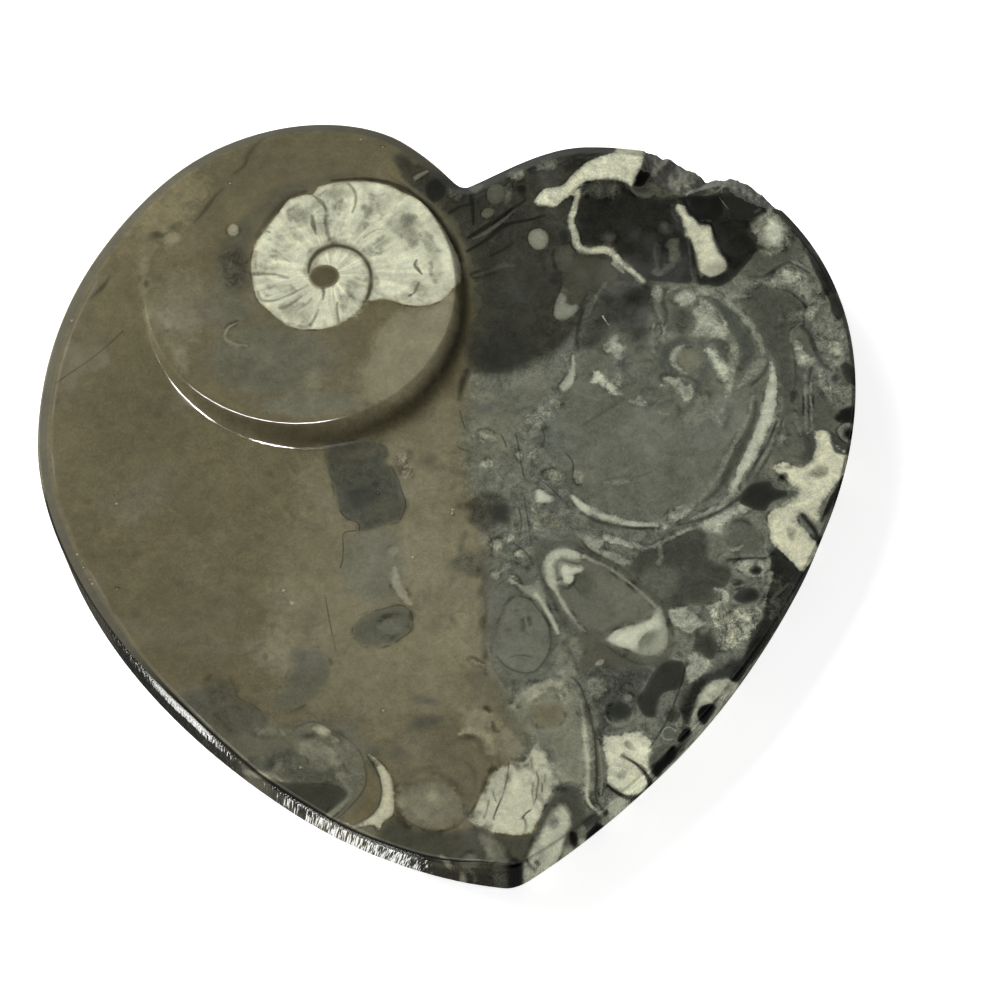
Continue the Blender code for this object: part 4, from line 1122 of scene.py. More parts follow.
lay("inlay", 0.2, 0.26, 0.35,
    (0.54, [(16.6, -13.8), (18, -14.8), (19.4, -15.6), (20.8, -16.8), (22.2, -18.2), (23.6, -19.8),
        (25, -21.6), (25.8, -23)], (0.5, 0.42, 0.3, 0.28, 0.45)),
    (0.72, [(11.1, -16.8), (10.9, -15), (11.4, -13.6), (12.4, -12.7), (13.8, -12.3), (15.4, -12.9),
        (16.6, -13.9), (15.4, -14.1), (14.2, -14), (13.2, -14.1), (12.7, -15), (12.5, -16.4),
        (12.6, -18), (12.2, -18.6), (11.4, -17.8)]),
    (0.8, [(13.4, -16.8), (13.2, -15.6), (13.8, -14.6), (14.6, -15.2), (15.4, -15.3), (16.4, -15.5),
        (16, -16.1), (15, -16.4), (14.8, -17.3), (14.2, -17.8), (13.4, -17.5)]),
    (0.4, [(12.8, -16), (12.8, -14.9), (13.3, -14.2), (14.1, -14.1)], (0.15, 0.28, 0.15)),
    (0.31, [(14.6, -14.5), (15.2, -14.8), (15.9, -14.9)], (0.3, 0.5, 0.3)),
    (0.34, [(12.9, -17.9), (13.9, -18)], (0.4, 0.35)),
    (0.66, [(12.2, -18.2), (12.8, -20), (13.4, -21.4), (14.2, -22.8), (15, -24.2), (15.7, -25)],
        (0.45, 0.5, 0.55, 0.55, 0.35, 0.12)),
    (0.56, [(25.1, -22.8), (25.8, -22.2), (26.4, -24), (26.5, -26.6), (25.8, -28.6), (24, -29.3),
        (22.6, -28.9), (21.2, -28.1), (22.4, -27.4), (24, -25.8)]),
    (0.78, [(18.3, -26.4), (19, -25.6), (20, -25), (21.6, -24.6), (23.4, -24.3), (24.8, -23.7),
        (25.4, -23.4), (25.6, -24.8), (24.8, -25.4), (23.6, -26), (22.7, -27), (22.1, -28.2),
        (21.4, -28), (20.2, -27.6), (19.2, -27.1)]),
    (0.46, [(22.5, -27.7), (23.2, -26.9), (24.4, -26), (25, -26.4), (24.2, -27.4), (23.2, -28)]))
hairline((-0.35, 0.16), [(14.8, -18), (15.5, -19), (16.5, -20.1)])
oval("inlay", 0.3, 0.2, (17.7, -18.4), (0.15, 0.4), -30, soft=0.15)
lay("calcite", 0.2, 0.25, 0.5,
    (0.59, [(15.8, -9.9), (17.4, -10.8), (18.8, -11.2), (19.6, -11.7), (19, -12.5), (18.8, -12.9),
        (20.4, -13.6), (21.6, -14.2), (22.8, -15.3), (21.6, -15.6), (20.2, -14.8), (18.6, -13.7),
        (17.4, -12.7), (16.7, -11.4)]))
band("calcite", 0.4, 0.2, [(26.6, -12.9), (26.8, -14), (26.9, -15)], 0.3, soft=0.3)
tell("Shell B")

# %% Shell C
lay("shell", 0.32, 0.5, 0.45,
    (0.48, [(4.2, -34.6), (5.6, -33.2), (7.5, -32.1), (9.5, -31.5), (11.3, -31.8), (12.8, -32.9),
        (13.6, -35), (13.9, -38), (14, -42), (14, -46), (12.4, -47), (10, -46.4), (9, -42),
        (7.6, -40.6), (6, -38.6), (4.6, -36.6)]),
    (0.45, [(7.4, -39.6), (10, -39.4), (12.8, -39.2), (13.2, -42), (12.4, -45.4), (10.6, -45.6),
        (9.4, -42.6)]))
lay("calcite", 0.32, 0.4, 0.4,
    (0.56, [(4.8, -35.4), (6, -34), (7.6, -33), (9.4, -32.2), (11, -32.2), (12.2, -33.2),
        (12.6, -34.8)], (0.3, 0.9, 1.1, 0.9, 0.4)),
    (0.66, [(7.1, -34.3), (8.3, -33.6), (9.6, -33)], (0.4, 0.6, 0.3)),
    (0.6, [(11.4, -33.8), (11.8, -35.2)], (0.4, 0.3)),
    (0.56, [(7.8, -40.4), (7.3, -41.6), (8.4, -42.2), (9.2, -44)], (0.4, 1, 0.5)))
lay("calcite", 0.65, 0.35, 0.25,
    (0.43, [(7, -35.4), (8.6, -35), (10.6, -34.9), (11.6, -35.6), (11.6, -36.8), (10.8, -38),
        (9.2, -38.4), (7.8, -37.6)]),
    (0.4, [(9.2, -36), (10.2, -35.5), (11.2, -36), (11.2, -37.2), (10.2, -37.8), (9.2, -37)]))
lay("inlay", 0.35, 0.25, 0.4,
    (0.55, [(12.9, -32.6), (13.6, -34), (14.1, -36), (14.2, -37.8)], (0.2, 0.45, 0.5)),
    (0.4, [(13.1, -32.8), (13.5, -34.6), (13.6, -36.6)], (0.12, 0.16, 0.08)),
    (0.72, [(14.2, -37.6), (14.1, -40), (14.1, -42.4), (14, -44.6), (13.7, -46.6), (13.5, -48.6),
        (13.9, -49.8), (14.9, -50.9)], (0.35, 0.65, 0.7, 0.6, 0.5, 0.4, 0.3)))
lay("inlay", 0.45, 0.16, 0.3,
    (0.17, [(13.2, -31.4), (14, -32.4), (14.6, -34.4), (14.9, -36.6), (15.2, -39), (15.3, -41),
        (15.2, -43.6), (15, -46), (14.6, -48.4), (14.6, -49.2), (15.1, -50.1), (15.7, -51)], (0.15,
        0.25, 0.22, 0.26, 0.4, 0.42, 0.36, 0.24, 0.3)),
    (0.48, [(15.8, -40.8), (15.8, -43.6), (15.7, -46.4), (15.3, -48.4)], (0.15, 0.25, 0.15)))
patch("calcite", 0.73, 0.3, [(-2, -50.4), (-1.2, -49.2), (-0.4, -47.6), (0.6, -46), (1.4, -44.6),
    (2.2, -43.9), (3.4, -43.4), (4.2, -43), (5, -43.6), (6, -42.8), (6.6, -42), (7.2, -41.2),
    (8, -41.8), (8.8, -42.6), (9.2, -44), (9.4, -45.4), (10, -46.4), (8.8, -47.6), (8, -49),
    (7.2, -50.6), (6.6, -52), (5.8, -52.9), (4.2, -53), (2.4, -52.8), (0.6, -52.2), (-0.8, -51.4)],
    soft=0.22, grain=0.5)
lay("inlay", 0.3, 0.5, 0.45,
    (0.62, [(1.6, -44.4), (3, -43.8), (3.2, -45.4), (1.8, -47.4), (0.6, -47.6)]),
    (0.6, [(7.3, -45), (8.8, -44.8), (9, -46.6), (8, -47.8), (7.3, -46.8)]),
    (0.58, [(5.4, -43.4), (6.2, -43), (7.2, -42), (8.4, -43)], (0.3, 0.5, 0.4)),
    (0.6, [(-1.6, -50.6), (-0.6, -50.2), (0.4, -51.6), (-0.4, -51.6)]))
lay("inlay", 0.4, 0.16, 0.3,
    (0.38, [(6.8, -42.7), (6.8, -43.9)], (0.25, 0.35, 0.2)),
    (0.33, [(6.4, -39), (6.5, -40.4), (6.6, -41.6)], (0.3, 0.2)),
    (0.42, [(5, -50.7), (5.3, -51.3), (5.2, -52.2), (5, -52.9)], (0.3, 0.35, 0.2, 0.12)))
for strength, points in (
    (-0.75, [(3.8, -43.1), (3.7, -44), (3.5, -44.9)]),
    (-0.6, [(3.4, -45.2), (3, -46.6), (2.6, -47.6)]),
    (-0.75, [(2.4, -48), (1.8, -49.2), (1.3, -50.3)]), (-0.5, [(1.5, -47.2), (1.7, -48.1)]),
    (-0.45, [(0.8, -48.2), (0.4, -49.6), (0, -50.4)]),
    (-0.5, [(7.3, -44.6), (7.5, -45.6), (7.2, -46.8)]),
    (-0.5, [(7.1, -47.2), (7, -48), (6.6, -48.9)]), (-0.5, [(8.4, -45.2), (8.3, -45.9)]),
    (-0.55, [(7.9, -46.4), (7.8, -47.2)]), (-0.35, [(6.8, -46), (6.5, -47.4), (6.6, -48.6)]),
    (-0.8, [(5, -50.7), (5.4, -50.2), (6, -49.8)]),
    (-0.4, [(-1.5, -50), (-0.3, -47.3), (0.7, -45.6)]),
):
    hairline((strength, 0.2), points)
lay("calcite", 0.6, 0.55, 0.35,
    (0.56, [(-2.4, -38.5), (-1, -37.9), (0.2, -37.9), (1.2, -38.8), (1.9, -40.2), (2, -41.4)],
        (0.5, 1.3, 1.2, 0.6)),
    (0.47, [(-1, -35.6), (0.6, -34.8), (2, -35.8), (1.8, -37.4), (0, -37.8)]),
    (0.46, [(2.6, -39.2), (4.2, -38), (5.4, -39.6), (5.8, -41.4), (4.4, -42.6), (2.8, -42)]))
patch("ink", 0.385, 0.6, [(-1.2, -30), (0.5, -29), (2.2, -29.8), (3.5, -31.5), (4, -33),
    (4.6, -35.2), (5.8, -37.4), (6.7, -39.4), (6.4, -41), (5.2, -39.4), (3.8, -37.2), (2.4, -35.2),
    (1, -33.2), (-0.3, -31.5)], soft=0.5, grain=0.25)
lay("ink", 0.7, 0.3, 0.3,
    (0.29, [(1.2, -34.9), (1.8, -35.2)], 0.5),
    (0.3, [(2.2, -37), (2.4, -38.2), (3, -38.4)], (0.4, 0.8, 0.3)),
    (0.33, [(2.6, -42), (2.6, -43.4)], (0.3, 0.5, 0.2)),
    (0.34, [(-3.8, -39.8), (-2, -39), (-0.4, -39.2), (0.4, -39.9), (0.4, -41.2)],
        (0.4, 0.9, 0.9, 0.4)))
tell("Shell C")

# %% [markdown]
# ## The mottled lower left
#
# Crushed shell and mud lie in layers here, and the cut passes through them at a low angle. So the
# shapes are broad and soft, except a cream crescent that stands on the wall like a horn.

# %% Lower left
patch("shell", 0.365, 0.45, [(-23.5, -25), (-21.5, -24.8), (-19.5, -25.5), (-18.7, -27.5),
    (-19, -29.5), (-19.8, -31), (-21.3, -32.3), (-23.5, -33.3), (-25.6, -33.5), (-26.2, -32.5),
    (-25.5, -31), (-24.3, -29.5), (-23.5, -27.5)], soft=0.35)
oval("ink", 0.28, 0.5, (-27.1, -25.7), (0.25, 0.6), soft=0.2)
band("ink", 0.34, 0.5, [(-30, -25.4), (-29, -25), (-28.4, -24.8)], 0.3, soft=0.2)
patch("shell", 0.315, 0.5, [(-39.8, -31), (-37, -30.3), (-35.2, -30), (-33.9, -28.3), (-32.3, -29),
    (-31.3, -30), (-30.8, -31.5), (-29, -32.6), (-28, -33.5), (-27, -35), (-29, -36), (-31.5, -37),
    (-34, -36), (-37, -33.3)], soft=0.5, grain=0.5)
hairline((-0.3, 0.25), [(-31.3, -30), (-30.8, -31.5), (-29, -32.6), (-28, -33.5)])
patch("shell", 0.39, 0.4, [(-23.5, -36), (-21, -35.4), (-18.5, -37), (-16.5, -38.5), (-15.2, -40.5),
    (-14.7, -43), (-15.5, -45.5), (-17, -46), (-18, -44.5), (-20, -43.5), (-22, -41.5),
    (-23.6, -39.5)], soft=0.4, grain=0.5)
hairline((-0.3, 0.22), [(-23.5, -36), (-21, -35.4), (-18.5, -37), (-16.5, -38.5), (-15.2, -40.5),
    (-14.7, -43)])
patch("shell", 0.325, 0.3, [(-30.5, -40.3), (-28, -39.7), (-24.5, -39), (-23.5, -40.5), (-22, -42),
    (-19, -42.5), (-19, -43.8), (-23, -43.8), (-26, -43), (-29, -41.7)], soft=0.35, grain=0.6)
patch("calcite", 0.64, 0.5, [(-21.3, -36.3), (-20.2, -36), (-19.2, -36.6), (-19.1, -37.5),
    (-20.2, -37.3), (-21, -36.9)], soft=0.25)
patch("calcite", 0.49, 0.35, [(-23.2, -38), (-21.5, -37.9), (-20, -38.8), (-18.5, -40),
    (-19, -41.2), (-21, -41.3), (-22.5, -40.4), (-23.2, -39.2)], soft=0.6, grain=0.4)
for centre, size, tone in (
    ((-18.2, -41.4), (0.5, 0.5), 0.52), ((-26, -41.3), (0.5, 0.7), 0.44),
    ((-18.5, -38.3), (0.4, 0.3), 0.55), ((-27.2, -36.4), (1.6, 0.5), 0.44),
    ((-25, -36.6), (0.7, 0.4), 0.46), ((-17.8, -43.4), (0.8, 0.5), 0.46),
):
    oval("calcite", tone, 0.35, centre, size, soft=0.45, grain=0.4)
for centre, size, turn in (
    ((-10.4, -40.6), (1, 0.7), 0), ((-6.6, -36.3), (2.2, 0.9), 8), ((-6.2, -33.3), (1.8, 0.5), -12),
    ((-13.6, -40.2), (1, 0.8), 0), ((-22.4, -37.4), (0.9, 0.5), 0), ((-37.4, -32.4), (1, 0.5), 0),
    ((-29.8, -40.4), (1, 0.35), 10),
):
    oval("ink", 0.31, 0.35, centre, size, turn, soft=0.7, grain=0.4)
band("calcite", 0.55, 0.35, [(-30.3, -41.9), (-28.5, -42.5), (-26.8, -42.8), (-25.6, -43.6)],
    (0.8, 0.9, 0.3), soft=0.2)
patch("ink", 0.245, 0.35, [(-27.2, -43.7), (-24.5, -43.9), (-21.5, -44), (-19, -44.5),
    (-17.5, -45.3), (-17.3, -46.2), (-18.4, -47.2), (-20.4, -48.6), (-22.4, -48.6), (-25, -46.2)],
    soft=0.2)
band("calcite", 0.48, 0.35, [(-17.6, -44.6), (-17, -45.8), (-18.1, -47.1), (-19.5, -48.4),
    (-21, -50)], (0.3, 1, 1, 0.5), soft=0.18)
hairline((-0.45, 0.2), [(-14.9, -42), (-14.7, -43.5), (-15, -45), (-15.8, -46.3), (-17, -47.6),
    (-18.5, -49), (-20, -50)])
patch("shell", 0.37, 1, [(-14.7, -42), (-13.7, -43.5), (-13, -45.5), (-13.4, -47.5), (-14.5, -49),
    (-16.5, -49.9), (-18.5, -50.3), (-17.5, -49), (-16, -47.5), (-15, -45.5)], soft=0.25)
patch("inlay", 0.73, 0.4, [(-14.2, -40.5), (-12.9, -41.7), (-11.8, -43.3), (-11.3, -45),
    (-11.4, -47), (-11.6, -49), (-12.8, -49.9), (-13.7, -51.3), (-14.2, -50.3), (-16.9, -50.6),
    (-14.6, -49.3), (-13.3, -47.8), (-12.8, -46), (-12.9, -44), (-13.5, -42.2)], soft=0.16,
    grain=0.5)
hairline((-0.5, 0.18), [(-14.4, -40.8), (-13.6, -42.5), (-13, -44.3), (-12.95, -46.3), (-13.6, -48),
    (-14.8, -49.3)])
lay("calcite", 0.5, 0.6, 0.35,
    (0.43, [(-10.9, -46.6), (-8.8, -44.9), (-5.6, -44.7), (-3.3, -46.6), (-2.6, -49), (-4, -51),
        (-7, -51.5), (-9.8, -50.2)]),
    (0.52, [(-7.2, -46.8), (-6.2, -46.4), (-5.4, -47.2), (-5.6, -48.2), (-6.6, -47.8)]),
    (0.51, [(-9, -48.2), (-7.8, -48.3), (-7, -49.2), (-7.4, -50.2), (-8.6, -49.6)]),
    (0.49, [(-10.6, -45.6), (-10.2, -47), (-10.6, -48.2)], (0.4, 0.8, 0.4)))
hairline((-0.35, 0.22), [(1.7, -43), (0.6, -45.5), (-0.3, -47.2), (-1.5, -49.2), (-3.2, -51)])
hairline((-0.4, 0.22), [(-11.2, -48.6), (-9.6, -50.3), (-7.8, -51.4), (-5.6, -51.8), (-3.6, -51.4)])
for points in (
    [(-10, -43.8), (-7.6, -43), (-5.4, -42.8)], [(-9.4, -45.2), (-6.6, -44.6), (-4, -44.8)],
    [(-2.2, -42), (-0.8, -43.6), (-0.8, -46)], [(-7, -40), (-4.6, -40.6), (-2.6, -42.2)],
):
    band("ink", 0.34, 0.75, points, (0.3, 0.7, 0.3), soft=0.4)
tell("Lower left")

# %% [markdown]
# ## The tip
#
# At the tip the stone is at its most broken: white calcite, green mud and black pebbles, all cut by
# one dark crack. The marks run over the edge and down the wall, because they go through the stone.

# %% Tip
patch("inlay", 0.285, 0.25, [(5.3, -56.6), (5.9, -54.2), (6.8, -52.2), (7.6, -50.4), (9, -48.4),
    (10.4, -46.9), (11.6, -46.5), (12.6, -47.3), (12.8, -49.5), (12.8, -51.5), (12.2, -53),
    (10.8, -54.8), (8, -57.4)], soft=0.22, grain=0.4)
patch("inlay", 0.7, 0.25, [(10.1, -49.4), (10.9, -50.4), (11, -52.2), (10.2, -53.6), (9.6, -55.4),
    (8.6, -57.8), (7, -60), (4.4, -60.6), (4.2, -58.4), (5, -56.2), (6.4, -54.2), (7.6, -52.2),
    (8.9, -50.3)], soft=0.3, grain=0.5)
lay("inlay", 0.15, 0.35, 0.4,
    (0.47, [(8, -51.6), (9, -50.8), (9.6, -51.6), (8.8, -52.6)]),
    (0.6, [(6, -54.4), (7.4, -55.2), (6.6, -56.8)]),
    (0.55, [(9.2, -56.6), (10, -55.2), (11, -55.8), (10, -57.6)]),
    (0.62, [(11.6, -54.6), (12.6, -54.2), (12.4, -55.4)]))
lay("inlay", 0.3, 0.14, 0.2,
    (0.2, [(5, -56.4), (5.3, -57.4), (6, -57.9)], 0.28), (0.16, [(6.1, -56.8), (6.4, -57.2)], 0.35),
    (0.32, [(9.6, -56), (8.9, -57.2), (8, -58.4)], 0.25))
lay("calcite", 0.3, 0.35, 0.4,
    (0.43, [(-0.6, -52.4), (0.6, -52.9), (1.8, -54.3), (2.5, -56), (2.8, -57.4), (0.4, -57.4),
        (-0.1, -55.5), (-0.7, -53.6)]),
    (0.52, [(0.1, -54.8), (0.5, -55.4), (0.6, -56.4)], (0.3, 0.6, 0.2)),
    (0.5, [(-5.8, -55.4), (-5.2, -56), (-4.8, -57.2)], (0.5, 0.9, 0.4)),
    (0.38, [(-3.4, -56.4), (-2.2, -55.2), (-1.4, -55.6), (-1.2, -57), (-2.8, -57.4)]))
lay("ink", 0.9, 0.3, 0.5,
    (0.17, [(-9.4, -55.9), (-6.4, -56.6), (-3.4, -57.2), (0.6, -57.3), (3.2, -57), (3.4, -61.6),
        (-2, -62), (-9, -60)]), (0.24, [(-8.6, -57), (-7, -57.4), (-7.2, -60), (-9, -59.4)]))
lay("inlay", 0.35, 0.25, 0.3,
    (0.5, [(-3.6, -57.6), (-2.9, -58), (-3, -60.6), (-3.9, -60.4)]),
    (0.3, [(0.5, -57.2), (2, -57.2), (2.2, -60), (0.8, -61)]),
    (0.38, [(-2.4, -57.4), (-1.8, -58.4), (-2, -59.6)], (0.5, 0.4, 0.2)),
    (0.04, [(2.8, -56.8), (4.2, -56.6), (4.3, -58.2), (3.9, -61.4), (2.5, -61.6), (2.5, -58.6)]))
patch("inlay", 0.19, 0.2, [(12.4, -51.8), (14, -50.9), (15.2, -51.4), (14.5, -52.2), (13, -52.8)],
    soft=0.25)
oval("inlay", 0.1, 0.2, (15.7, -50.9), (0.4, 0.45))
lay("inlay", 0.2, 0.16, 0.2,
    (0.045, [(10.9, -53.2), (11.7, -53.4), (11.7, -54.6), (11.3, -55.4), (10.7, -54.6)]),
    (0.035, [(12.7, -54.7), (13, -53.5), (14.1, -52.3), (14.6, -52.2), (15.3, -53), (14.2, -54.4),
        (13, -55.2)]))
oval("calcite", 0.6, 0.2, (17.4, -50.3), (1.8, 1.4), 35, soft=0.6, grain=0.5)
patch("calcite", 0.66, 0.25, [(12.2, -56.2), (14, -55), (16, -53), (17.6, -52.4), (20, -50.4),
    (22, -48.6), (24, -47.4), (22, -51), (17, -55), (13, -58)], soft=0.35, grain=0.4)
tell("Tip")

# %% [markdown]
# ## The lower right
#
# Right of the tip lie rounded lumps of grey shell, a white block with a dark crust along its
# foot, and black mud that was squeezed between them. The lumps are patches with a soft edge, the
# crust is a band that swells in the middle, and the cracks between the lumps are hairlines.

# %% Lower right
patch("shell", 0.3, 0.1, [(14.8, -30.5), (16.5, -30.2), (18.3, -30), (20, -30.5), (22.5, -30.8),
    (23.5, -32), (22.7, -33.3), (21.8, -34.7), (21.4, -36.3), (20.8, -38.3), (19, -39.4),
    (17, -39.7), (16.1, -39.5), (16, -37), (15.5, -34), (15, -32)], soft=0.3, grain=0.8)
patch("shell", 0.33, 0.3, [(15.7, -24.5), (18, -25.5), (17.3, -26.2), (18.5, -27.8), (20.5, -29.3),
    (22, -30.2), (20, -30.4), (17.5, -30), (15.5, -30.3), (14.6, -31), (14.3, -29), (15.1, -27)],
    soft=0.3)
oval("calcite", 0.43, 0.15, (16.3, -33), (1.3, 1.2), soft=0.5, grain=0.9)
oval("calcite", 0.5, 0.15, (20.2, -35), (0.6, 0.6), soft=0.25)
oval("calcite", 0.19, 0.05, (19, -36.8), (1.4, 1.15), soft=0.3)
band("calcite", 0.47, 0.15, [(17, -37.4), (17.5, -38.3), (18.6, -38.8), (20, -38.5), (20.7, -37.3)],
    (0.3, 0.6, 0.3), soft=0.2)
# This small pale dot is a painted glint.
oval("inlay", 0.72, 0.25, (17.1, -29.6), (0.6, 0.3), 25, soft=0.2)
patch("calcite", 0.77, 0.3, [(16.3, -40.3), (18.7, -40.3), (21, -40), (22.6, -41.4), (22.4, -43),
    (22, -45), (21.8, -47.2), (20.5, -48.7), (18.7, -49), (17.1, -47.9), (16.3, -46.6),
    (16.6, -44.3)], soft=0.2, grain=0.7)
band("inlay", 0.07, 0.3, [(18.7, -43.2), (20.3, -44.5), (21.3, -45.8), (21.8, -47.2), (21.4, -48.4),
    (20.3, -49), (19, -49.1), (17.6, -48.4), (16.3, -47.2)], (0.25, 0.4, 0.8, 0.6, 0.4), soft=0.14)
oval("inlay", 0.5, 0.3, (18.4, -45.7), (0.5, 0.3), 20, soft=0.25)
oval("inlay", 0.5, 0.3, (19.8, -41.8), (0.25, 0.7), 30, soft=0.2)
patch("ink", 0.2, 0.15, [(24, -31.8), (25.6, -30.2), (27.8, -30.4), (28.2, -31.2), (28, -33),
    (27, -34.4), (25.6, -34.6), (24.6, -35.2), (24, -36.6), (23.6, -38), (22.4, -38), (21.5, -36.6),
    (21.5, -35.2), (22.6, -33.8)], soft=0.16)
patch("shell", 0.4, 0.15, [(22, -39), (24, -38.6), (26.4, -36.6), (27, -38.6), (26, -41),
    (23, -42.6), (22, -41.4)], soft=0.25, grain=0.9)
oval("calcite", 0.36, 0.1, (25, -40.6), (0.9, 0.9), soft=0.2)
hairline((0.6, 0.2), [(25.9, -40.3), (25.3, -39.7), (24.5, -39.9), (24.1, -40.7), (24.5, -41.4),
    (25.3, -41.5)])
hairline((-0.8, 0.2), [(28.3, -31), (27.6, -33.4), (26.6, -35.6), (25.6, -37.6), (24.6, -39.4),
    (23.4, -41), (22.4, -42.3)])
tell("Lower right")

# %% Lower right: mud and lumps
patch("bed", 0.165, 0.1, [(41.6, -15.6), (41.3, -17.4), (40.8, -20.4), (40, -22.6), (39.4, -25),
    (38, -27.4), (36.8, -29.2), (36, -30.8), (34.6, -31), (32.8, -32), (31, -32.4), (29.4, -33.4),
    (28.2, -34.4), (27.2, -36), (26.8, -37.6), (27.2, -39.4), (27.8, -39.2), (28.8, -37), (30, -35),
    (31.4, -33.8), (33, -33.4), (34, -33.6), (34.8, -34.2), (36.2, -33.6), (50, -17), (46, -14)],
    soft=0.25, grain=0.6)
lay("shell", 0.2, 0.25, 0.5,
    (0.27, [(25, -13.2), (28, -11.8), (31, -11.3), (33, -11.4), (33.8, -12.8), (33.4, -14.6),
        (33.2, -15.8), (34.4, -16.6), (35.8, -17), (36, -18.6), (35, -20.2), (33.4, -20.6),
        (33.4, -21.6), (31.8, -22.4), (30, -22.2), (28, -23), (26.6, -22.4), (25.4, -20.6),
        (24, -18), (22.6, -16.4), (23.2, -15)]),
    (0.345, [(36.2, -12.4), (37, -11), (38, -10.3), (39.2, -10.6), (40, -11.8), (40.5, -13.4),
        (40.5, -15.2), (39, -15.7), (37, -15.4), (35.9, -14.2)]),
    (0.4, [(33.5, -12.2), (35.2, -12.4), (35.6, -13.8), (34.6, -15.4), (34, -16), (33.4, -14.6)]),
    (0.23, [(30.4, -25.8), (31, -27), (32.4, -26.2), (33, -28), (32.4, -30), (31.6, -30.6),
        (30.6, -29.4), (29.6, -29), (29.8, -28)]),
    (0.36, [(24, -17.8), (25.4, -20.4), (27.4, -21), (29, -18.6), (28.4, -16.6), (26, -16.2)]))
oval("cloud", 0.24, 0.1, (42, -22.6), (1.6, 2.4), -30, soft=0.8, grain=1.2)
lay("calcite", 0.15, 0.22, 0.8,
    (0.66, [(19, -11.2), (20, -11.8), (21, -12.2), (20.2, -11)]),
    (0.55, [(19.7, -11), (22.4, -12.3), (25, -13.4), (28, -12.4), (31, -11.2), (32.6, -10.8)],
        (0.5, 0.9, 0.6, 0.5, 0.4)),
    (0.6, [(32.4, -10.8), (34, -9.9), (36.4, -8.9), (38.6, -8.3), (40, -8.8), (39.2, -9.6),
        (37.4, -9.8), (36, -10.9), (35.4, -12.2), (34, -11.9)]),
    (0.62, [(33.6, -20.3), (34.8, -20.9), (34.9, -21.8), (34, -22.6), (32, -23)],
        (0.4, 0.8, 0.7, 0.3)),
    (0.54, [(36.2, -17), (38, -16.6), (40.6, -17), (40.8, -18.4), (40, -19.3), (38.6, -19.1),
        (37.4, -18.2)]),
    (0.48, [(41, -15.6), (41.3, -17.6), (40.9, -20), (40, -22.6), (39.2, -24), (38.4, -25.4)],
        (0.5, 0.5, 0.4, 0.6)),
    (0.35, [(36.2, -20.4), (37.8, -20.2), (39.6, -20.4), (40.2, -21.6)], 0.3),
    (0.6, [(27, -23), (28.2, -22.7), (29.4, -22.7), (30.6, -24), (31.6, -25.2), (30.4, -26),
        (29.4, -26.5), (28, -25.4), (27, -24.4)]),
    (0.57, [(29.2, -29.4), (30.4, -29.8), (31.6, -31), (31, -32), (29.6, -33), (28.2, -33.8),
        (28.4, -32), (28.8, -30.6)]), (0.46, [(36, -14.6), (37.2, -14.8), (38, -14.4)], 0.5),
    (0.43, [(26.8, -13.4), (27, -14.8), (26.4, -16)], 0.6),
    (0.3, [(40.4, -24.4), (41.2, -24.6), (41, -25.6), (40.2, -25.4)]))
patch("calcite", 0.54, 0.25, [(32.6, -23.2), (35, -23.6), (37, -23.8), (39, -23.3), (39.2, -24.4),
    (38.4, -26), (37.4, -27.6), (36, -28.8), (34.4, -29.4), (33.2, -29.4), (32.9, -27.2),
    (32.8, -25)], soft=0.3, grain=1.5)
oval("inlay", 0.74, 0.25, (37.2, -24.8), (1.3, 0.6), 15, soft=0.5, grain=1.2)
lay("ink", 0.1, 0.2, 0.5,
    (0.21, [(37, -10.8), (38.4, -10.6), (39.4, -11.4)], (0.4, 0.7, 0.4)),
    (0.17, [(35.9, -16.3), (38.4, -16.3), (40.8, -16.6)], 0.35),
    (0.2, [(35.8, -19.6), (36.8, -19.2), (37.6, -19.8), (36.6, -20.2)]),
    (0.13, [(38.4, -18.2), (39.4, -17.5), (40.2, -18.2), (39.4, -19)]),
    (0.17, [(35.9, -21.8), (37, -20.9), (38.6, -20.8), (39.4, -21.8), (38.6, -22.8),
        (36.8, -22.8)]))
lay("calcite", 0.15, 0.3, 0.9,
    (0.5, [(42, -25.7), (40.6, -27.8), (39, -29.7), (37.4, -31.5), (35.4, -33.8), (33.2, -36.2),
        (31.4, -38.3), (29.8, -40.1), (28.2, -41.7), (26.4, -43.5), (24.4, -45.3), (22.4, -47.1)],
        (0.15, 0.2, 0.3, 0.6, 0.7, 0.6, 0.4)),
    (0.44, [(27.4, -39.8), (28.6, -39), (29.2, -40), (29.6, -40.6), (28.2, -42), (27.4, -42.6),
        (27.8, -41)]))
lay("calcite", 0.25, 0.2, 0.6,
    (0.6, [(28, -40.6), (28.2, -39), (28.6, -37.8), (29.2, -36.4), (29.8, -35), (31, -34),
        (32.4, -33.6), (33.4, -33.6), (34.2, -34.2), (35, -34.6), (34, -35.8), (32.8, -36.4),
        (31.8, -36.2), (31, -37), (29.8, -37.2), (29.1, -38.2), (29, -39.4)]),
    (0.7, [(29.6, -36.4), (30.4, -35), (31.4, -34.4), (32, -34.8), (31, -36)]),
    (0.47, [(32.8, -35.2), (33.6, -34.4), (34.4, -34.6), (33.6, -35.6)]),
    (0.62, [(25.6, -43.9), (26.2, -43), (26.9, -42.2)], (0.1, 0.14, 0.06)),
    (0.6, [(28.4, -41.6), (29, -40.9), (29.4, -40.3)], (0.06, 0.14, 0.06)),
    (0.3, [(22, -44.8), (22.4, -43.2), (23.6, -42.4), (25, -42.2), (24.2, -43.2), (22.8, -44.4),
        (22.2, -45.2)]),
    (0.2, [(25, -38), (25.8, -37.2), (26.6, -37.4), (26.2, -38.6), (25.4, -38.8)]))
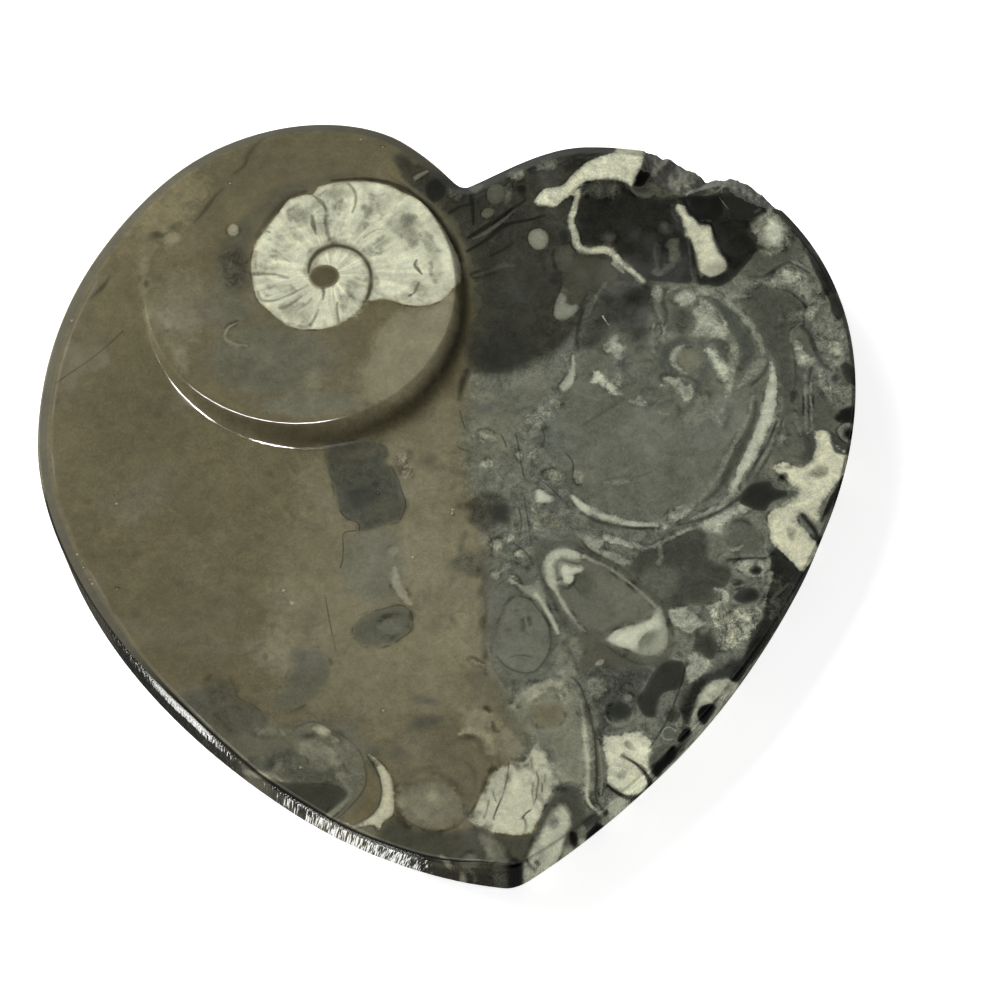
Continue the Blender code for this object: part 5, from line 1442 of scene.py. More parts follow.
lay("inlay", 0.1, 0.14, 0.3,
    (0.06, [(29, -38.2), (29.4, -37.4), (30.2, -37), (31.2, -36.9), (31.6, -37.4), (31, -38.4),
        (30.2, -39.4), (29.8, -39.9), (29.2, -39.2)]),
    (0.06, [(26, -41.7), (26.4, -41), (27, -40.2), (27.7, -40.1), (28, -40.8), (27.4, -41.4),
        (26.6, -42.1)]), (0.16, [(25.6, -42.6), (26.4, -42.2), (26.8, -42.6), (25.8, -43.6)]),
    (0.03, [(22.2, -45.4), (22.8, -44.6), (24, -43.6), (25.2, -42.4), (25.8, -42.6), (25.8, -43.6),
        (25, -44.6), (23.8, -45.6), (22.9, -46.6), (22.4, -46.2)]),
    (0.08, [(33.8, -33.6), (34.6, -32.6), (35.4, -31.8), (36.2, -32.4), (35.2, -33.9),
        (34.8, -34.2)]),
    (0.11, [(36.2, -30.6), (38, -28.6), (40, -27.4), (39.4, -29), (37.4, -31.2), (36, -32.4)]))
lay("inlay", 0.2, 0.16, 0.3,
    (0.22, [(31.3, -37), (32.2, -36.1), (33, -35.6)], 0.1),
    (0.34, [(40.4, -24.4), (41.3, -24.6), (41.6, -25.6)], (0.3, 0.2, 0.1)),
    (0.3, [(41, -22.6), (42.4, -21.4), (43.4, -20.8)], (0.4, 0.5, 0.2)))
tell("Lower right: mud and lumps")

# %% [markdown]
# ## Bright specks
#
# Tiny crystals in the mud flash white. The flashes are painted glints: hard white dots, a quarter
# of a millimetre wide.

# %% Specks
# Every dot below is a painted glint.
for centre in (
    (-10.9, -2.2), (-0.8, -6), (-0.7, -5.4), (-6.6, -12.1), (10.2, -6.2), (-46.3, -2.4),
    (-46.4, -15.1), (-23.3, -18), (-24.3, -16.1), (22.8, 22.5), (-12, -34.3), (-23.2, -41.8),
    (-52, 26.2), (-9.7, 53.3), (-6.6, 51.8), (-29, 47.2), (-51.6, -9.8), (-50.8, -11.8),
    (-50, -13.6), (-49.7, -14.2), (29.8, 11),
):
    oval("inlay", 0.93, 0.3, centre, (0.2, 0.16), soft=0.08, grain=0)
print(len(areas), "areas and", len(hairlines), "hairlines")

# %% [markdown]
# ## One fine mesh
#
# The upper surface is a net of triangles over the heart. Most of the net is even. Extra points
# follow every curve above, and each hairline gets three rows of points, so that its dark crest lies
# on mesh edges. A Remesh or a dense grid would need ten times the triangles for the same lines.

# %% Which points to keep
EDGE_ROUND = 0.3
EDGE_ROOM = 0.12
LINE_ROOM = 0.2
CROWD_CELL = 0.25


def side_rows(line):
    """The rows beside a hairline, at its half-width and just outside it."""
    path = line["path"]
    if line["closed"]:
        sideways = inward_normals(path)
    else:
        along = np.gradient(path, axis=0)
        sideways = np.column_stack([-along[:, 1], along[:, 0]])
        sideways /= np.hypot(*sideways.T)[:, None] + 1e-12
    reach = line["half_width"]
    return [path + sideways * reach, path - sideways * reach]


def inside_heart(places, inset):
    """Which places lie inside the outline by at least the inset."""
    rim = HEART[::4] + HEART_NORMALS[::4] * inset
    return inside_path(places[:, 0], places[:, 1], rim)


def thin_out(fixed, groups):
    """The points of the groups, in turn, that don't crowd a fixed point or one kept before."""
    taken = {}
    for x, y in fixed:
        taken.setdefault((int(x // CROWD_CELL), int(y // CROWD_CELL)), []).append((x, y))
    kept = []
    for group, clearance in groups:
        reach = math.ceil(clearance / CROWD_CELL)
        near = range(-reach, reach + 1)
        for x, y in group[inside_heart(group, EDGE_ROUND + EDGE_ROOM)]:
            column, row = int(x // CROWD_CELL), int(y // CROWD_CELL)
            crowd = (p for i in near for j in near for p in taken.get((column + i, row + j), ()))
            if all((px - x) ** 2 + (py - y) ** 2 >= clearance ** 2 for px, py in crowd):
                taken.setdefault((column, row), []).append((x, y))
                kept.append((x, y))
    return np.array(kept)


print("points of the net keep", EDGE_ROUND + EDGE_ROOM, "mm away from the wall")

# %% Gather the points
NET_STEP = 0.58
EDGE_STEP = 0.36
CLEARANCE = 0.17
LINE_CLEARANCE = 0.08
SOFT_MARK = 0.8
RIM_INSETS = (0.52, 0.8, 1.15, 1.5, 1.9, 2.4)
RIM_STEP = 0.4
BUTTON_RINGS = (-0.45, -0.22, 0.0, 0.3, 0.7, 1.2, 1.8, 2.6, 3.4, 4.2, 4.9, 5.5)
BUTTON_STEPS = 330
BREAK_BOX = (26, 36, 52, 54)
BREAK_STEP = 0.24
WHOLE_BOX = (-58, -58, 58, 58)
NET_CLEARANCE = NET_STEP * 0.55
LINE_GAP = 0.5


def hexagon_net(box, step):
    columns = np.arange(box[0], box[2], step)
    rows = np.arange(box[1], box[3], step * math.sqrt(0.75))
    x, y = np.meshgrid(columns, rows)
    x[::2] += step / 2
    return np.column_stack([x.ravel(), y.ravel()])


def gather_net():
    """All net points in millimetres, and the pairs that must become edges."""
    ring = GROUND_HEART
    pairs = [(i, (i + 1) % len(ring)) for i in range(len(ring))]
    crests = []
    for line in hairlines:
        path = line["path"][inside_heart(line["path"], EDGE_ROUND + LINE_ROOM)]
        first = len(ring) + sum(len(c) for c in crests)
        crests.append(path)
        steps = np.hypot(*np.diff(path, axis=0).T) if len(path) > 1 else []
        pairs += [(first + i, first + i + 1) for i, gap in enumerate(steps) if gap < LINE_GAP]
    fixed = np.vstack([ring] + crests)
    groups = [(side, LINE_CLEARANCE) for line in hairlines for side in side_rows(line)]
    for area in areas:
        if area["soft"] < SOFT_MARK:
            edge = even_steps(area["path"], EDGE_STEP, area["width"] is None)
            groups.append((edge, CLEARANCE))
    for inset in RIM_INSETS:
        ring_points = even_steps(HEART + HEART_NORMALS * inset, RIM_STEP, closed=True)
        groups.append((ring_points, CLEARANCE))
    turns = np.linspace(0, math.tau, BUTTON_STEPS, endpoint=False)
    for away in BUTTON_RINGS:
        ring_points = np.column_stack([np.cos(turns), np.sin(turns)]) * (BUTTON_RADIUS + away)
        groups.append((ring_points + BUTTON_CENTRE, CLEARANCE))
    groups.append((hexagon_net(BREAK_BOX, BREAK_STEP), CLEARANCE))
    groups.append((hexagon_net(WHOLE_BOX, NET_STEP), NET_CLEARANCE))
    kept = thin_out(fixed, groups)
    return np.vstack([fixed, kept]), pairs


print("the net's even step is", NET_STEP, "mm")

# %% [markdown]
# ## The ground side wall
#
# A coarse wheel ground the wall, up and down, and left fine steep grooves that glitter where the
# light grazes them. A bump alone changes the shading and leaves the wall's outline smooth, so the
# larger ones are cut here as real grooves, up to a few hundredths of a millimetre deep. A
# repeatable random row of depths changes a little between the top and the foot, and each row of
# points is shifted along the wall a little further than the row above, as the grooves slant.

# %% Grooves
GROOVE_DEPTH = 0.055
GROOVE_HEADINGS = (0, 190, 212, 264, 274, 360)
GROOVE_SHARES = (0.1, 0.5, 1.0, 1.0, 0.0, 0.1)
GROOVE_SLANT = 9
GROOVE_PATCHES = 60
FOOT_INSET = 0.3
dice = np.random.default_rng(41)


def groove_row():
    row = dice.random(len(HEART))
    row = 0.5 * row + 0.25 * np.roll(row, 1) + 0.25 * np.roll(row, -1)
    spots = np.linspace(0, len(HEART), GROOVE_PATCHES)
    patchy = np.interp(np.arange(len(HEART)), spots, dice.random(GROOVE_PATCHES))
    scored = np.interp(headings(*HEART.T), GROOVE_HEADINGS, GROOVE_SHARES)
    return row * (0.35 + 0.65 * patchy) * scored


GROOVES_TOP = groove_row()
GROOVES_FOOT = 0.5 * GROOVES_TOP + 0.5 * groove_row()


def grooved_outline(rise, inset=0.0):
    """The outline at a share of the wall's height, with its slanted grooves."""
    depth = (GROOVES_FOOT * (1 - rise) + GROOVES_TOP * rise) * GROOVE_DEPTH
    lean = (OVERHANG + FOOT_INSET) * (1 - rise) + inset
    outline = HEART + HEART_NORMALS * (depth + lean)[:, None]
    return np.roll(outline, round(GROOVE_SLANT * (1 - rise)), axis=0)


GROUND_HEART = grooved_outline(1.0, EDGE_ROUND)
print(f"the grooves are up to {GROOVES_TOP.max() * GROOVE_DEPTH * 1000:.0f} microns deep")

# %% Net over the face
MERGE_WITHIN = 1e-5
net_points, net_pairs = gather_net()
net = delaunay_2d_cdt([Vector(p) for p in net_points], net_pairs, [], 1, MERGE_WITHIN)
face_xy = np.array([(v.x, v.y) for v in net[0]])
face_triangles = net[2]
ring_at = {source: at for at, sources in enumerate(net[3]) for source in sources}
ring_index = [ring_at[i] for i in range(len(HEART))]
print(f"the face has {len(face_xy)} points and {len(face_triangles)} triangles")

# %% [markdown]
# ## Wall, underside and one closed solid
#
# The face's outer ring is the top of the wall. Below it, the wall is a loft of rings, each with
# its own grooves; the rings keep their share of the local height, so they follow the chips down.
# A small chamfer leads to the flat sawn underside. A Solidify modifier could not do this, because
# the top and the foot differ. All the parts share their points, so the stone is one closed solid.

# %% Loft the wall
CHAMFER = 0.8
WALL_SHARES = (0.0, 0.13, 0.26, 0.39, 0.52, 0.65, 0.78, 0.9)
ROUNDED_EDGE = ((0.15, 0.06), (0.05, 0.18), (0.0, 0.4))

face_z, in_chip = stone_height(face_xy[:, 0], face_xy[:, 1])
ring_top = face_z[ring_index]
columns = len(ring_index)

points = [np.column_stack([face_xy, face_z])]
rings = [np.array(ring_index)]


def add_ring(outline, height):
    rings.append(np.arange(columns) + sum(len(p) for p in points))
    points.append(np.column_stack([outline, height]))


for inset, drop in ROUNDED_EDGE:
    add_ring(grooved_outline(1.0, inset), ring_top - drop)
for share in reversed(WALL_SHARES):
    add_ring(grooved_outline(share), CHAMFER + (ring_top - ROUNDED_EDGE[-1][1] - CHAMFER) * share)
foot_outline = grooved_outline(0.0, CHAMFER)
add_ring(foot_outline, np.zeros(columns))
points = np.vstack(points)

wall_faces = []
for upper, lower in zip(rings, rings[1:]):
    after_upper, after_lower = np.roll(upper, -1), np.roll(lower, -1)
    corners = (upper, lower, after_lower, after_upper)
    wall_faces += list(zip(*(row.tolist() for row in corners)))

foot_pairs = [(i, (i + 1) % columns) for i in range(columns)]
foot_net = delaunay_2d_cdt([Vector(p) for p in foot_outline], foot_pairs, [], 1, MERGE_WITHIN)
foot_source = [rings[-1][sources[0]] for sources in foot_net[3]]
foot_faces = [tuple(int(foot_source[i]) for i in reversed(f)) for f in foot_net[2]]
faces = [tuple(f) for f in face_triangles] + wall_faces + foot_faces
print(f"the wall has {columns} columns, and the stone {len(points)} points")

# %% [markdown]
# ## Making the mesh
#
# The lists of points and faces become one Blender mesh, and every face gets its finish by where it
# lies. On the real stone the polish runs softly over the upper edge, while the sawn underside and
# the broken patch end in crisp edges. Shade Auto Smooth would choose by angle alone, so the edges
# are marked here by which two finishes meet.

# %% Make the mesh
stone_mesh = bpy.data.meshes.new("polished_fossil_heart")
stone_mesh.from_pydata((points * MM).tolist(), [], faces)
stone = bpy.data.objects.new("polished_fossil_heart", stone_mesh)
bpy.context.scene.collection.objects.link(stone)

FACE, WALL, BROKEN, UNDERSIDE = range(4)
face_zone = np.full(len(faces), FACE)
face_zone[len(face_triangles):] = WALL
face_zone[len(face_triangles) + len(wall_faces):] = UNDERSIDE
corners_in_chip = in_chip[np.array(face_triangles)].sum(1)
face_zone[:len(face_triangles)][corners_in_chip >= 2] = BROKEN
stone_mesh.polygons.foreach_set("material_index", face_zone.astype(np.int32))
stone_mesh.polygons.foreach_set("use_smooth", face_zone != UNDERSIDE)

zone_of_edge = {}
for zone, polygon in zip(face_zone, stone_mesh.polygons):
    for key in polygon.edge_keys:
        zone_of_edge.setdefault(key, set()).add(int(zone))
SOFT_SEAMS = ({FACE}, {WALL}, {BROKEN}, {UNDERSIDE}, {FACE, WALL}, {FACE, BROKEN})
sharp = [zone_of_edge[tuple(sorted(e.vertices))] not in SOFT_SEAMS for e in stone_mesh.edges]
stone_mesh.edges.foreach_set("use_edge_sharp", sharp)
stone_mesh.update()
triangles = sum(len(f) - 2 for f in faces)
print(f"{triangles} triangles, {sum(sharp)} sharp edges, {int(corners_in_chip.sum())} chip corners")

# %% [markdown]
# ## From curves to coats on the mesh
#
# Each point now learns how far it is inside or outside the marks of each coat. The signed distance
# is divided by the mark's softness, so one number per coat gives both crisp and misty edges. The
# shells lie at a slant in the rock. So a deeper point of the wall reads the drawing at a place
# nearer the tip, and the marks slide away from the tip as they go down.

# %% Signed distances
SLANT_HUB = (-12.0, -149.0)
SLANT_RUN = 305.0
FAR = 4.0
EMPTY_LOOK = (0.3, 0.3, 0.3)


def signed_distance(x, y, area):
    """Millimetres inside the area (above 0) or outside it (below 0)."""
    if area["width"] is None:
        away, _, _ = distance_to_path(x, y, area["path"])
        return np.where(inside_path(x, y, area["path"]), away, -away)
    away, which, part = distance_to_path(x, y, area["path"], closed=False)
    width = area["width"]
    return width[which] * (1 - part) + width[np.minimum(which + 1, len(width) - 1)] * part - away


depth = np.zeros(len(points))
wall_rows = np.arange(len(face_xy), len(points))
depth[wall_rows] = np.tile(ring_top, len(rings) - 1) - points[wall_rows, 2]
depth[:len(face_xy)] = np.where(in_chip, THICKNESS - face_z, 0.0)
stone_x = points[:, 0] + depth * (SLANT_HUB[0] - points[:, 0]) / SLANT_RUN
stone_y = points[:, 1] + depth * (SLANT_HUB[1] - points[:, 1]) / SLANT_RUN


def points_between(low, high):
    """The numbers of the points that a box encloses."""
    across = (stone_x > low[0]) & (stone_x < high[0])
    return np.nonzero(across & (stone_y > low[1]) & (stone_y < high[1]))[0]


def cover(edge):
    """How much of the stone below a mark hides, from 0 well outside its edge to 1 well inside."""
    share = np.clip(edge / 2 + 0.5, 0.0, 1.0)
    return share * share * (3 - 2 * share)


coats = {name: np.tile([-FAR, *EMPTY_LOOK], (len(points), 1)) for name in COATS}
for area in areas:
    path, coat = area["path"], coats[area["coat"]]
    margin = FAR * area["soft"] + (0.0 if area["width"] is None else area["width"].max())
    low, high = path.min(0) - margin, path.max(0) + margin
    near = points_between(low, high)
    edge = np.clip(signed_distance(stone_x[near], stone_y[near], area) / area["soft"], -FAR, FAR)
    over, under = cover(edge), cover(coat[near, 0])
    mixed = over / (over + under * (1 - over) + 1e-9)
    share = np.where(over + under > 0.02, mixed, edge > coat[near, 0])
    finish = np.array([area["tone"], area["warmth"], area["grain"]])
    coat[near, 1:] += share[:, None] * (finish - coat[near, 1:])
    coat[near, 0] = np.maximum(coat[near, 0], edge)

for name, values in coats.items():
    values[:, 0] = values[:, 0] / (2 * FAR) + 0.5
    attribute = stone_mesh.attributes.new("coat_" + name, "FLOAT_COLOR", "POINT")
    attribute.data.foreach_set("color", values.astype(np.float32).ravel())
print(f"{len(areas)} areas in {len(COATS)} coats")

# %% [markdown]
# ## Hairlines and the rim on the mesh
#
# Cracks and the thin skins of shells are far narrower than a patch's edge. Each point near one
# learns how close it lies to the line's crest. A curve with a bevel would stand proud of the
# polish; a number on the mesh stays flush. A third number tells how near the rim's bevel is.

# %% Hairlines and the rim
RIM_REACH = 4.0
line_values = np.zeros((len(points), 4), np.float32)
for line in hairlines:
    path = line["path"]
    low, high = path.min(0) - 1, path.max(0) + 1
    near = points_between(low, high)
    away, _, _ = distance_to_path(stone_x[near], stone_y[near], path, closed=line["closed"])
    profile = np.clip(1.0 - away / line["half_width"], 0.0, 1.0) * abs(line["strength"])
    channel = 0 if line["strength"] < 0 else 1
    line_values[near, channel] = np.maximum(line_values[near, channel], profile)
inset, _, _ = distance_to_path(points[:, 0], points[:, 1], HEART[::6])
bevel_width = around_rim(points[:, 0], points[:, 1], RIM_WIDTHS)
line_values[:, 2] = np.clip(inset / bevel_width / RIM_REACH, 0.0, 1.0)
line_values[:, 3] = 1.0
attribute = stone_mesh.attributes.new("lines_and_rim", "FLOAT_COLOR", "POINT")
attribute.data.foreach_set("color", line_values.ravel())
print(f"{len(hairlines)} hairlines")

# %% [markdown]
# ## The limestone's colour
#
# One node group turns the coats into a colour, and every finish below uses it. An image would hold
# more detail, but noise never runs out of it close to, and it goes on through the whole stone. The
# node editor could build the group by hand. A few small functions keep it readable as a script.

# %% Node helpers
def feed(tree, socket, value):
    """Link a socket to another one, or set it to a value."""
    if isinstance(value, bpy.types.NodeSocket):
        tree.links.new(value, socket)
    else:
        socket.default_value = value


def add_node(tree, kind, settings=(), **sockets):
    """A shader node with its settings; i0, i1 and i2 mean its inputs by number."""
    new = tree.nodes.new("ShaderNode" + kind)
    for name, value in dict(settings).items():
        setattr(new, name, value)
    for name, value in sockets.items():
        feed(tree, new.inputs[int(name[1:]) if name[1:].isdigit() else name], value)
    return new


def calculate(tree, operation, a, b=0.0, c=0.0):
    return add_node(tree, "Math", dict(operation=operation), i0=a, i1=b, i2=c).outputs[0]


def product(tree, first, *others):
    for other in others:
        first = calculate(tree, "MULTIPLY", first, other)
    return first


def weigh(tree, *terms):
    """The sum of pairs of a value and its weight."""
    total = 0.0
    for value, weight in terms:
        total = calculate(tree, "MULTIPLY_ADD", value, weight, total)
    return total


def ramp(tree, value, low, high, to_low=0.0, to_high=1.0, smooth=True):
    """The value brought from one range to another, and held there at both ends."""
    kind = "SMOOTHSTEP" if smooth else "LINEAR"
    made = add_node(tree, "MapRange", dict(interpolation_type=kind), Value=value)
    limits = {"From Min": low, "From Max": high, "To Min": to_low, "To Max": to_high}
    for name, number in limits.items():
        feed(tree, made.inputs[name], number)
    return made.outputs[0]


def stops(tree, value, *pairs):
    """A number given at several places between 0 and 1."""
    made = add_node(tree, "ValToRGB", Fac=value)
    elements = made.color_ramp.elements
    for at, (place, number) in enumerate(pairs):
        stop = elements[at] if at < 2 else elements.new(1.0)
        stop.position, stop.color = place, (number, number, number, 1.0)
    return made.outputs[0]


print("node helpers are ready")

# %% Vectors, noise and blends
def vectors(tree, operation, *inputs, **named):
    numbered = {f"i{at}": value for at, value in enumerate(inputs)}
    made = add_node(tree, "VectorMath", dict(operation=operation), **numbered, **named)
    return made.outputs["Value" if operation == "LENGTH" else "Vector"]


def blend(tree, factor, a, b, kind="VECTOR"):
    """From a to b by the factor, for vectors or for numbers (kind FLOAT)."""
    made = add_node(tree, "Mix", dict(data_type=kind))
    first, result = (4, 1) if kind == "VECTOR" else (2, 0)
    for at, value in ((0, factor), (first, a), (first + 1, b)):
        feed(tree, made.inputs[at], value)
    return made.outputs[result]


def millimetres(tree):
    """The place in the stone, in millimetres."""
    return vectors(tree, "SCALE", add_node(tree, "TexCoord").outputs["Object"], Scale=1.0 / MM)


def noise(tree, place, scale, detail=2.0, roughness=0.5, distortion=0.0):
    """Noise about 0, between -1 and 1."""
    made = add_node(tree, "TexNoise", Vector=place, Scale=scale, Detail=detail,
                    Roughness=roughness, Distortion=distortion)
    return calculate(tree, "MULTIPLY_ADD", made.outputs[0], 2.0, -1.0)


def colour_parts(tree, colour):
    return add_node(tree, "SeparateColor", Color=colour).outputs


def mark_values(tree, name):
    """The red, green, blue and alpha of one of the mesh's attributes."""
    mark = add_node(tree, "Attribute", dict(attribute_name=name, attribute_type="GEOMETRY"))
    return *colour_parts(tree, mark.outputs["Color"]), mark.outputs["Alpha"]


print("vector helpers are ready")

# %% [markdown]
# ## Ragged edges
#
# A real shell's edge has been eaten by the mud round it. Each coat's edge is a distance, so noise
# added to it before it becomes a mask moves the edge to and fro. Blurring a painted mask would only
# make it soft. Shells also get a thin dark skin along their edges, in places.

# %% Coats laid one on another
BASE_LOOK = (0.38, 0.9, 0.28)
HEART_SHARE = 0.22
SKINS = {"shell": 0.3, "calcite": 0.32, "inlay": 0.42}
WOBBLE = {"bed": 1.3, "cloud": 1.5, "shell": 1.0, "calcite": 1.3, "ink": 1.1, "inlay": 0.7}
SMOOTH_EDGE = 0.45
GRAIN_OF_SMOOTH, GRAIN_OF_RAGGED = 0.25, 0.75


def mark_cover(tree, edge, crisp):
    """How much a mark hides: most of it just inside its edge, and the rest in its heart."""
    cover = product(tree, ramp(tree, product(tree, edge, crisp), -1.0, 1.0), 1.0 - HEART_SHARE)
    return calculate(tree, "MULTIPLY_ADD", ramp(tree, edge, 0.2, FAR), HEART_SHARE, cover)


def coat_look(tree, place, slow, quick):
    """Tone, warmth and grain of the coats laid one on another, and their dark skins."""
    wobble = weigh(tree, (slow, 1.7), (quick, 0.8))
    crisp = ramp(tree, noise(tree, place, 0.31, 2.0, 0.55), -0.42, 0.42, 0.34, 1.5)
    skinned = ramp(tree, noise(tree, place, 0.42, 2.0, 0.5), -0.1, 0.45)
    look = add_node(tree, "CombineXYZ", X=BASE_LOOK[0], Y=BASE_LOOK[1], Z=BASE_LOOK[2]).outputs[0]
    skins = 0.0
    for name in COATS:
        inside, tone, warmth, grain = mark_values(tree, "coat_" + name)
        mark_look = add_node(tree, "CombineXYZ", X=tone, Y=warmth, Z=grain).outputs[0]
        edge = calculate(tree, "MULTIPLY_ADD", inside, 2 * FAR, -FAR)
        most = WOBBLE[name]
        reach = ramp(tree, grain, GRAIN_OF_SMOOTH, GRAIN_OF_RAGGED, SMOOTH_EDGE * most, most)
        edge = calculate(tree, "MULTIPLY_ADD", wobble, reach, edge)
        look = blend(tree, mark_cover(tree, edge, crisp), look, mark_look)
        if name in SKINS:
            skin = product(tree, ramp(tree, edge, -2.4, -0.8), ramp(tree, edge, 0.5, -0.6))
            skins = calculate(tree, "MAXIMUM", skins, product(tree, skin, SKINS[name]))
    return look, product(tree, skins, skinned)


print("skins lie on the coats", ", ".join(SKINS))

# %% [markdown]
# ## Threads, streaks and crumbs
#
# Between the placed marks the mud is full of torn shell. Thin wandering threads are where a noise
# crosses zero. The ammonite's shell is streaked outwards from its middle, so its noise is read in
# spokes instead of in straight rows. Crumbs are cells of different size and tone, which look more
# like broken pieces than noise does.

# %% Threads, streaks and crumbs
FAN_CENTRE = (-15.2, 31.0, 0.0)
FAN_REACH = 19.0
FAN_STREAKS = 7.0
THREAD_PULL = (4.2, 4.2, 0.0)


def threads(tree, place, scale, seed, width):
    """Thin wandering threads, as the torn edges of shells make in mud."""
    pull = add_node(tree, "TexNoise", Vector=place, Scale=0.33, Detail=2.0).outputs["Color"]
    moved = vectors(tree, "MULTIPLY_ADD", pull, THREAD_PULL, place)
    moved = vectors(tree, "ADD", moved, (seed, -seed, seed))
    wave = calculate(tree, "ABSOLUTE", noise(tree, moved, scale, 2.0, 0.5))
    return ramp(tree, wave, width, 0.0)


def fan(tree, place):
    """Streaks that spread from the ammonite's middle, as its ribs and chambers do."""
    flat = vectors(tree, "MULTIPLY", vectors(tree, "SUBTRACT", place, FAN_CENTRE), (1.0, 1.0, 0.0))
    away = vectors(tree, "LENGTH", flat)
    spread = vectors(tree, "SCALE", vectors(tree, "NORMALIZE", flat), Scale=FAN_STREAKS)
    rise = add_node(tree, "CombineXYZ", X=0.0, Y=0.0, Z=product(tree, away, 0.16)).outputs[0]
    streak = noise(tree, vectors(tree, "ADD", spread, rise), 1.0, 3.0, 0.6, 0.25)
    return product(tree, streak, ramp(tree, away, FAN_REACH, FAN_REACH - 1.0))


def crumbs(tree, place, quick, speckled):
    """Where crumbs of shell lie, and how much paler or darker each is."""
    cells = add_node(
        tree, "TexVoronoi", dict(feature="F1"), Vector=place, Scale=0.7, Randomness=1.0)
    dice = colour_parts(tree, cells.outputs["Color"])
    size = ramp(tree, dice[0], 0.0, 1.0, 0.1, 0.42, smooth=False)
    size = calculate(tree, "MULTIPLY_ADD", quick, 0.22, size)
    inside = calculate(tree, "SUBTRACT", size, cells.outputs["Distance"])
    crumb = product(tree, ramp(tree, inside, 0.0, 0.14), ramp(tree, speckled, 0.5, 1.4, 0.0, 0.35))
    return crumb, ramp(tree, dice[1], 0.0, 1.0, -0.55, 0.75, smooth=False)


print("the ammonite's streaks reach", FAN_REACH, "mm from its middle")

# %% [markdown]
# ## From looks to a colour
#
# The group adds the specks to the tone, draws the hairlines over it and tints it. A tone is how
# bright a place looks to the eye, so it is raised to a power to become light. A painted colour
# would hold one day's light for ever, while tone and warmth stay the stone's own.

# %% Limestone colour group
COOL_TINT = (0.92, 1.0, 0.80)
WARM_TINT = (1.16, 1.0, 0.54)
DARK_LINE, PALE_LINE = 0.12, 0.82
LEAST_TONE = 0.02
EYE_POWER = 2.2
GROUP_OUTPUTS = ("Color", "Grain", "Tone", "Rim")


def speck_of(tree, place, tone, grain, slow, quick, skins):
    """How much paler or darker each place is than its coat, as a share."""
    broad = noise(tree, place, 0.18, 3.0, 0.6, 0.5)
    fine = noise(tree, place, 7.0, 2.0, 0.7)
    mottle = weigh(tree, (slow, 0.6), (quick, 0.6), (fine, 1.0))
    marble = noise(tree, place, 0.34, 4.0, 0.62, 1.6)
    busy = ramp(tree, grain, 0.36, 1.1, smooth=False)
    strands = calculate(tree, "SUBTRACT", threads(tree, place, 0.42, 3.0, 0.075),
                        threads(tree, place, 0.5, 11.0, 0.06))
    pale = ramp(tree, tone, 0.5, 0.68)
    speckled = product(tree, grain, ramp(tree, pale, 0.0, 1.0, 1.0, 0.62, smooth=False))
    speck = product(tree, mottle, calculate(tree, "MULTIPLY_ADD", speckled, 0.44, 0.05))
    marble = product(tree, marble, product(tree, speckled, ramp(tree, grain, 0.3, 0.7, 0.35, 0.6)))
    dull = ramp(tree, pale, 1.0, 0.0, 0.04, 0.24, smooth=False)
    strands = product(tree, strands, product(tree, busy, dull))
    speck = weigh(tree, (broad, 0.12), (speck, 1.0), (marble, 1.0), (strands, 1.0), (skins, -1.0))
    speck = calculate(tree, "MULTIPLY_ADD", product(tree, fan(tree, place), pale), 0.3, speck)
    crumb, crumb_tone = crumbs(tree, place, quick, speckled)
    return calculate(tree, "MULTIPLY_ADD", crumb, crumb_tone, speck)


def limestone_group():
    tree = bpy.data.node_groups.new("limestone colour", "ShaderNodeTree")
    for name in GROUP_OUTPUTS:
        kind = "NodeSocketColor" if name == "Color" else "NodeSocketFloat"
        tree.interface.new_socket(name, in_out="OUTPUT", socket_type=kind)
    place = millimetres(tree)
    slow = noise(tree, place, 0.6, 3.0, 0.62, 0.7)
    quick = noise(tree, place, 2.4, 3.0, 0.65, 0.3)
    look, skins = coat_look(tree, place, slow, quick)
    tone, warmth, grain = add_node(tree, "SeparateXYZ", Vector=look).outputs
    speck = speck_of(tree, place, tone, grain, slow, quick, skins)
    tone = product(tree, tone, calculate(tree, "ADD", speck, 1.0))
    dark_line, pale_line, rim_share, _ = mark_values(tree, "lines_and_rim")
    ragged = ramp(tree, weigh(tree, (slow, 1.0), (quick, 0.5)), -0.5, 0.5, 0.35, 1.1)
    tone = blend(tree, product(tree, dark_line, ragged), tone, DARK_LINE, "FLOAT")
    tone = blend(tree, product(tree, pale_line, ragged), tone, PALE_LINE, "FLOAT")
    tone = calculate(tree, "MAXIMUM", tone, LEAST_TONE)
    warmth = calculate(tree, "MULTIPLY_ADD", product(tree, slow, grain), 0.35, warmth)
    light = calculate(tree, "POWER", tone, EYE_POWER)
    colour = vectors(tree, "SCALE", blend(tree, warmth, COOL_TINT, WARM_TINT), Scale=light)
    outlet = tree.nodes.new("NodeGroupOutput")
    values = colour, grain, tone, product(tree, rim_share, RIM_REACH)
    for name, value in zip(GROUP_OUTPUTS, values):
        tree.links.new(value, outlet.inputs[name])
    return tree


LIMESTONE = limestone_group()
print(f"the limestone group has {len(LIMESTONE.nodes)} nodes")

# %% [markdown]
# ## The polished face
#
# The face is like wet slate under a thin clear gloss, with a few worn places. It could be a clear
# coat over a rough base, but one smooth Principled shader looks the same on stone. The wheel did
# not reach everywhere: round the button the edge and the foot of the cove are bright only in
# stretches, so there the gloss itself comes and goes with the direction from the button's middle.

# %% A new finish
# The first grey tints the bevel. The second, nearly black, is painted shade: the dark line along
# the upper edge at the lower left, and the dark on the wall between its painted glints.
BEVEL_GREY = (0.062, 0.064, 0.062)
PAINTED_SHADE_DARK = (0.006, 0.006, 0.005)


